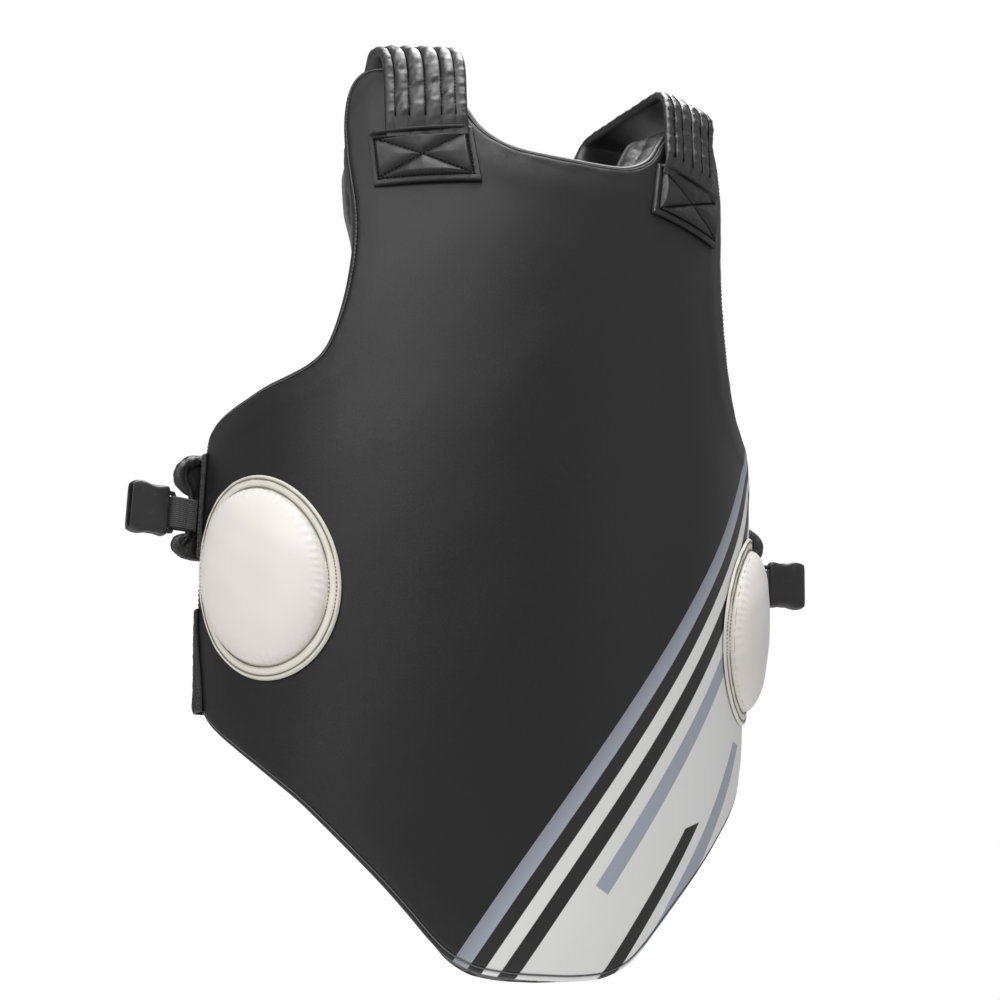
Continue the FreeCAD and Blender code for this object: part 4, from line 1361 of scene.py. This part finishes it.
    def socket(self) -> None:
        """Socket half of the buckle: a rounded hollow shell."""
        node = self.side.word + "_socket"
        stations = np.array(self.stations)
        turn = circle(128)
        wide = squared(np.cos(turn), 0.28) * 20.0 * MM
        thick = squared(np.sin(turn), 0.34) * 6.0 * MM
        out = stations[:, None, 0] * MM + 0 * turn[None]
        up = stations[:, None, 1] * wide[None]
        off = stations[:, None, 2] * thick[None] + self.sew
        notch = bell(out, 37 * MM, 4.5 * MM) * smooth_ramp(np.abs(up), 14 * MM, 19 * MM)
        outer = (np.arange(len(stations)) < self.outer_stations)[:, None]
        up = up - np.sign(up) * 3.0 * MM * notch * outer
        rings = self.at(self.buckle_height, np.stack([out, up, off], -1))
        shell = ring_stack(node + "_shell", rings, [self.palette["buckle_plastic"]])
        soft = shell.modifiers.new("soften", "SUBSURF")
        soft.levels = soft.render_levels = RENDER_LEVELS
        carry(shell, node, "buckle_plastic", node)

    def plastic_loop(self, name: str, out: Array, up: Array, off: Array) -> None:
        """Closed plastic ring that turns with the socket."""
        points = self.at(self.buckle_height, np.stack([out, up, off], -1))
        node = self.side.word + "_socket"
        carry(closed_grid("%s_%s" % (node, name), points, self.palette["buckle_plastic"]),
              node, "buckle_plastic")

    def bar_frame(self) -> None:
        """Frame that carries the bar the webbing goes round."""
        turn, tube = circle(120), circle(16)[None]
        deep, tall, radius = 4.2 * MM, 15.0 * MM, 1.9 * MM
        ring_out = squared(np.cos(turn), 0.35) * deep
        ring_up = squared(np.sin(turn), 0.35) * tall
        size = np.hypot(ring_out / deep, ring_up / tall)
        norm_out, norm_up = ring_out / size / deep, ring_up / size / tall
        out = (self.bar_reach + deep + ring_out[:, None]
               + radius * norm_out[:, None] * np.cos(tube))
        up = ring_up[:, None] + radius * norm_up[:, None] * np.cos(tube)
        self.plastic_loop("frame", out, up, self.sew + radius * np.sin(tube) + 0 * out)

    def windows(self) -> None:
        """Raised lips round the release windows on both edges of the socket."""
        turn, tube = circle(64)[:, None], circle(12)[None]
        lip = 0.9 * MM * np.cos(tube)
        out = SOCKET_MIDDLE + (6.0 * MM + lip) * np.cos(turn)
        off = self.sew + (3.4 * MM + lip) * np.sin(turn)
        for name, sign in (("high", 1), ("low", -1)):
            up = sign * (17.4 * MM + 1.1 * MM * np.sin(tube)) + 0 * out
            self.plastic_loop("lip_" + name, out, up, off)


@dataclass
class WaistBand:
    """Elastic waist band in two wings with hook and loop where they lap."""

    palette: Palette
    bow: float = 75 * MM
    wall: float = 2.5 * MM
    hook: float = 1.5 * MM
    height: float = 74 * MM
    lap: float = 34 * MM
    gap: float = 0.3 * MM
    hem: float = 0.25 * MM
    edge: Tuple[float, float] = (0.20165, 0.14459)
    middle_z: float = 0.2285 - SHOULDER_HEIGHT

    @property
    def radius(self) -> float:
        """Radius of the inner face of the band."""
        return (self.edge[0] ** 2 + self.bow ** 2) / (2 * self.bow)

    def arc(self, off: float, start: float, end: float) -> Array:
        """Points along the band's circle between two angles from +X."""
        centre_y = self.edge[1] + self.bow - self.radius
        turn = np.linspace(start, end, int(abs(end - start) * self.radius / (1.6 * MM)) + 2)
        reach = self.radius + off
        return np.stack([reach * np.cos(turn), centre_y + reach * np.sin(turn),
                         np.full_like(turn, self.middle_z)], -1)

    def border(self, name: str, off: float, start: float, end: float, height: float,
               body: str) -> None:
        """Stitches round a rectangle on the outside of the band."""
        long = self.arc(off, start, end)
        up = np.array([0.0, 0.0, height / 2])
        side = np.linspace(-1, 1, int(height / (3.2 * MM)))[:, None] * up
        lines = [resample(line, 3.2 * MM, False)
                 for line in (long + up, long - up, long[0] + side, long[-1] + side)]
        centre = self.arc(-0.3, (start + end) / 2, (start + end) / 2 + 0.01)[0]
        seams = [(line, np.gradient(line, axis=0), (line - centre) * np.array([1.0, 1.0, 0.0]))
                 for line in lines]
        carry(stitch_row(name, seams, self.palette["black_thread"]), body)

    def build(self) -> None:
        """Both wings, their panels and the stitches."""
        side = math.asin(self.edge[0] / self.radius)
        lap = self.lap / self.radius
        middle = math.pi / 2
        wall, hook, panel = self.wall, self.hook, self.height - 8 * MM
        outer = wall + 2 * hook + self.gap
        # name, distance out, start, end, height, wall, finish, body, CAD node, hem
        for name, off, start, end, height, thick, finish, body, node, hem in (
                ("left_band", 0.0, middle - lap, middle + side, self.height, wall, "elastic",
                 "pad", "left_waist_wing", self.hem),
                ("loop_strip", wall, middle - lap, middle + lap, panel, hook, "hook_loop",
                 "pad", "loop_panel", 0.0),
                ("hook_strip", wall + hook + self.gap, middle - lap, middle + lap, panel, hook,
                 "hook_loop", "waist_wing", "hook_panel", 0.0),
                ("right_band", outer, middle - side, middle + lap, self.height, wall, "elastic",
                 "waist_wing", "right_waist_wing", self.hem)):
            strip = ribbon(name, self.arc(off + thick / 2, start, end), UP, height, thick,
                           self.palette[finish], hem)
            carry(strip, body, "elastic" if finish == "elastic" else "velcro", node)
        self.border("band_end_stitches", outer + wall + 0.1 * MM, middle - lap * 0.93,
                    middle + lap * 0.93, self.height - 14 * MM, "waist_wing")


@dataclass
class Tail:
    """Webbing tail that hangs from the yoke and folds round the bar of the plug."""

    palette: Palette
    side: Side
    x: float = 52 * MM
    y: float = 100 * MM
    top: float = -236.5 * MM
    eye: float = -335.3 * MM
    reach: float = 3.2 * MM

    def build(self) -> None:
        """One folded strip."""
        down = np.linspace(self.top, self.eye + 5 * MM, 90)
        turn = np.linspace(0, 2 * math.pi, 40)[2:-1]
        y = np.concatenate([np.full_like(down, self.y), self.y + self.reach * np.sin(turn)])
        z = np.concatenate([down, self.eye + self.reach * np.cos(turn)])
        path = np.stack([np.full_like(z, self.side.value * self.x), y, z], -1)
        node = self.side.word + "_tail"
        tail = ribbon(node + "_webbing", path, np.array([1.0, 0.0, 0.0]), WEBBING_WIDTH,
                      WEBBING_WALL, self.palette["webbing"], 0.12 * MM)
        carry(tail, node, "webbing", node)


@dataclass
class CarriedNodes:
    """CAD nodes whose shape is right: they keep it and get their finish."""

    palette: Palette
    bevels: Tuple[Tuple[str, float], ...] = (
        ("slider", 0.6 * MM), ("plug", 0.6 * MM), ("prong_outer", 0.3 * MM),
        ("prong_inner", 0.3 * MM))

    def dress(self, frame: Dict) -> None:
        """Give each node its material and softened edges."""
        for side in Side:
            for suffix, bevel in self.bevels:
                node = frame["nodes"]["%s_%s" % (side.word, suffix)]
                node.data.materials.clear()
                node.data.materials.append(self.palette["buckle_plastic"])
                soft = node.modifiers.new("soften", "BEVEL")
                soft.width = bevel
                soft.segments = 2
                soft.limit_method = "ANGLE"
                soft.angle_limit = math.radians(40)


# ---------------------------------------------------------------- studio
@dataclass
class Studio:
    """Pale floor, soft light and the camera."""

    azimuth: float = -20.2
    elevation: float = -15.6
    roll: float = 1.8
    distance: float = 1.5312
    field_of_view: float = 28.26
    target: Triple = (-0.0150, 0.0500, -0.3360)
    ambient: float = 0.40
    floor_z: float = -1.25
    floor_size: float = 20.0
    # Lamps: name, place, aim, size and power in watts.
    lamps: Tuple = (
        ("key", (-1.1, -1.5, 1.2), (0.0, 0.0, -0.35), (0.9, 0.9), 13.0),
        ("side", (-1.55, -0.70, 0.60), (-0.15, 0.0, -0.10), (0.5, 1.0), 9.5),
        ("low_side", (-1.5, -0.5, -0.75), (-0.2, 0.0, -0.55), (0.4, 0.6), 1.5),
        ("top", (0.10, -0.05, 1.10), (0.0, 0.0, 0.0), (1.5, 0.5), 34.0),
        ("fill", (1.6, -1.5, 0.2), (0.0, 0.0, -0.35), (1.2, 1.6), 4.0),
    )

    def camera(self) -> None:
        """Camera at the angle of the reference view."""
        a, e, r = (math.radians(v) for v in (self.azimuth, self.elevation, self.roll))
        back = Vector((math.sin(a) * math.cos(e), -math.cos(a) * math.cos(e), math.sin(e)))
        right = (-back).cross(Vector((0, 0, 1))).normalized()
        up = right.cross(-back)
        x = right * math.cos(r) + up * math.sin(r)
        y = up * math.cos(r) - right * math.sin(r)
        data = bpy.data.cameras.new("camera")
        data.angle = math.radians(self.field_of_view)
        data.clip_end = 50.0
        camera = bpy.data.objects.new("camera", data)
        place = Matrix.Translation(Vector(self.target) + back * self.distance)
        camera.matrix_world = place @ Matrix((x, y, back)).transposed().to_4x4()
        bpy.context.scene.collection.objects.link(camera)
        bpy.context.scene.camera = camera

    def lamp(self, name: str, place: Triple, aim: Triple, size: Tuple[float, float],
             power: float) -> None:
        """Soft rectangular light that faces a point."""
        data = bpy.data.lights.new(name, "AREA")
        data.shape = "RECTANGLE"
        data.size, data.size_y = size
        data.energy = power
        lamp = bpy.data.objects.new(name, data)
        turn = (Vector(aim) - Vector(place)).to_track_quat("-Z", "Y").to_matrix().to_4x4()
        lamp.matrix_world = Matrix.Translation(Vector(place)) @ turn
        bpy.context.scene.collection.objects.link(lamp)

    def world(self) -> None:
        """White backdrop that lights the pad more softly than the camera sees it."""
        world = bpy.data.worlds.new("studio")
        world.use_nodes = True
        background = world.node_tree.nodes["Background"]
        background.inputs[0].default_value = (1.0, 1.0, 1.0, 1.0)
        kit = NodeKit(world.node_tree)
        seen = kit.node("ShaderNodeLightPath").outputs["Is Camera Ray"]
        kit.feed(background.inputs[1], kit.math("MULTIPLY_ADD", seen, 1.0 - self.ambient,
                                                self.ambient))
        bpy.context.scene.world = world
        bpy.context.scene.view_settings.view_transform = "Standard"

    def build(self) -> None:
        """Camera, world, lights and floor."""
        self.camera()
        self.world()
        for row in self.lamps:
            self.lamp(*row)
        corners = ((-1, -1), (1, -1), (1, 1), (-1, 1))
        points = np.array([(x * self.floor_size, y * self.floor_size, self.floor_z)
                           for x, y in corners])
        material = bpy.data.materials.new("pale_floor")
        material.use_nodes = True
        shader = material.node_tree.nodes["Principled BSDF"]
        shader.inputs["Base Color"].default_value = (0.95, 0.95, 0.95, 1.0)
        shader.inputs["Roughness"].default_value = 0.9
        floor = make_object("floor", points, [[0, 1, 2, 3]], [material])


def main() -> None:
    """Build everything in order."""
    logging.basicConfig(level=logging.INFO)
    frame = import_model()
    palette = Palette()
    palette.build()
    shell = PadShell(palette)
    shell.build()
    shell.dress()
    LOG.info("pad shell built")
    for side in Side:
        for part in (Target(palette, side), StrapPatch(palette, side)):
            part.build()
            part.dress()
        ShoulderStrap(palette, side).build()
        SideHardware(palette, side).build()
        Tail(palette, side).build()
        LOG.info("%s side built", side.word)
    Yoke(palette).build()
    WaistBand(palette).build()
    CarriedNodes(palette).dress(frame)
    Studio().build()


if __name__ == "__main__":
    main()
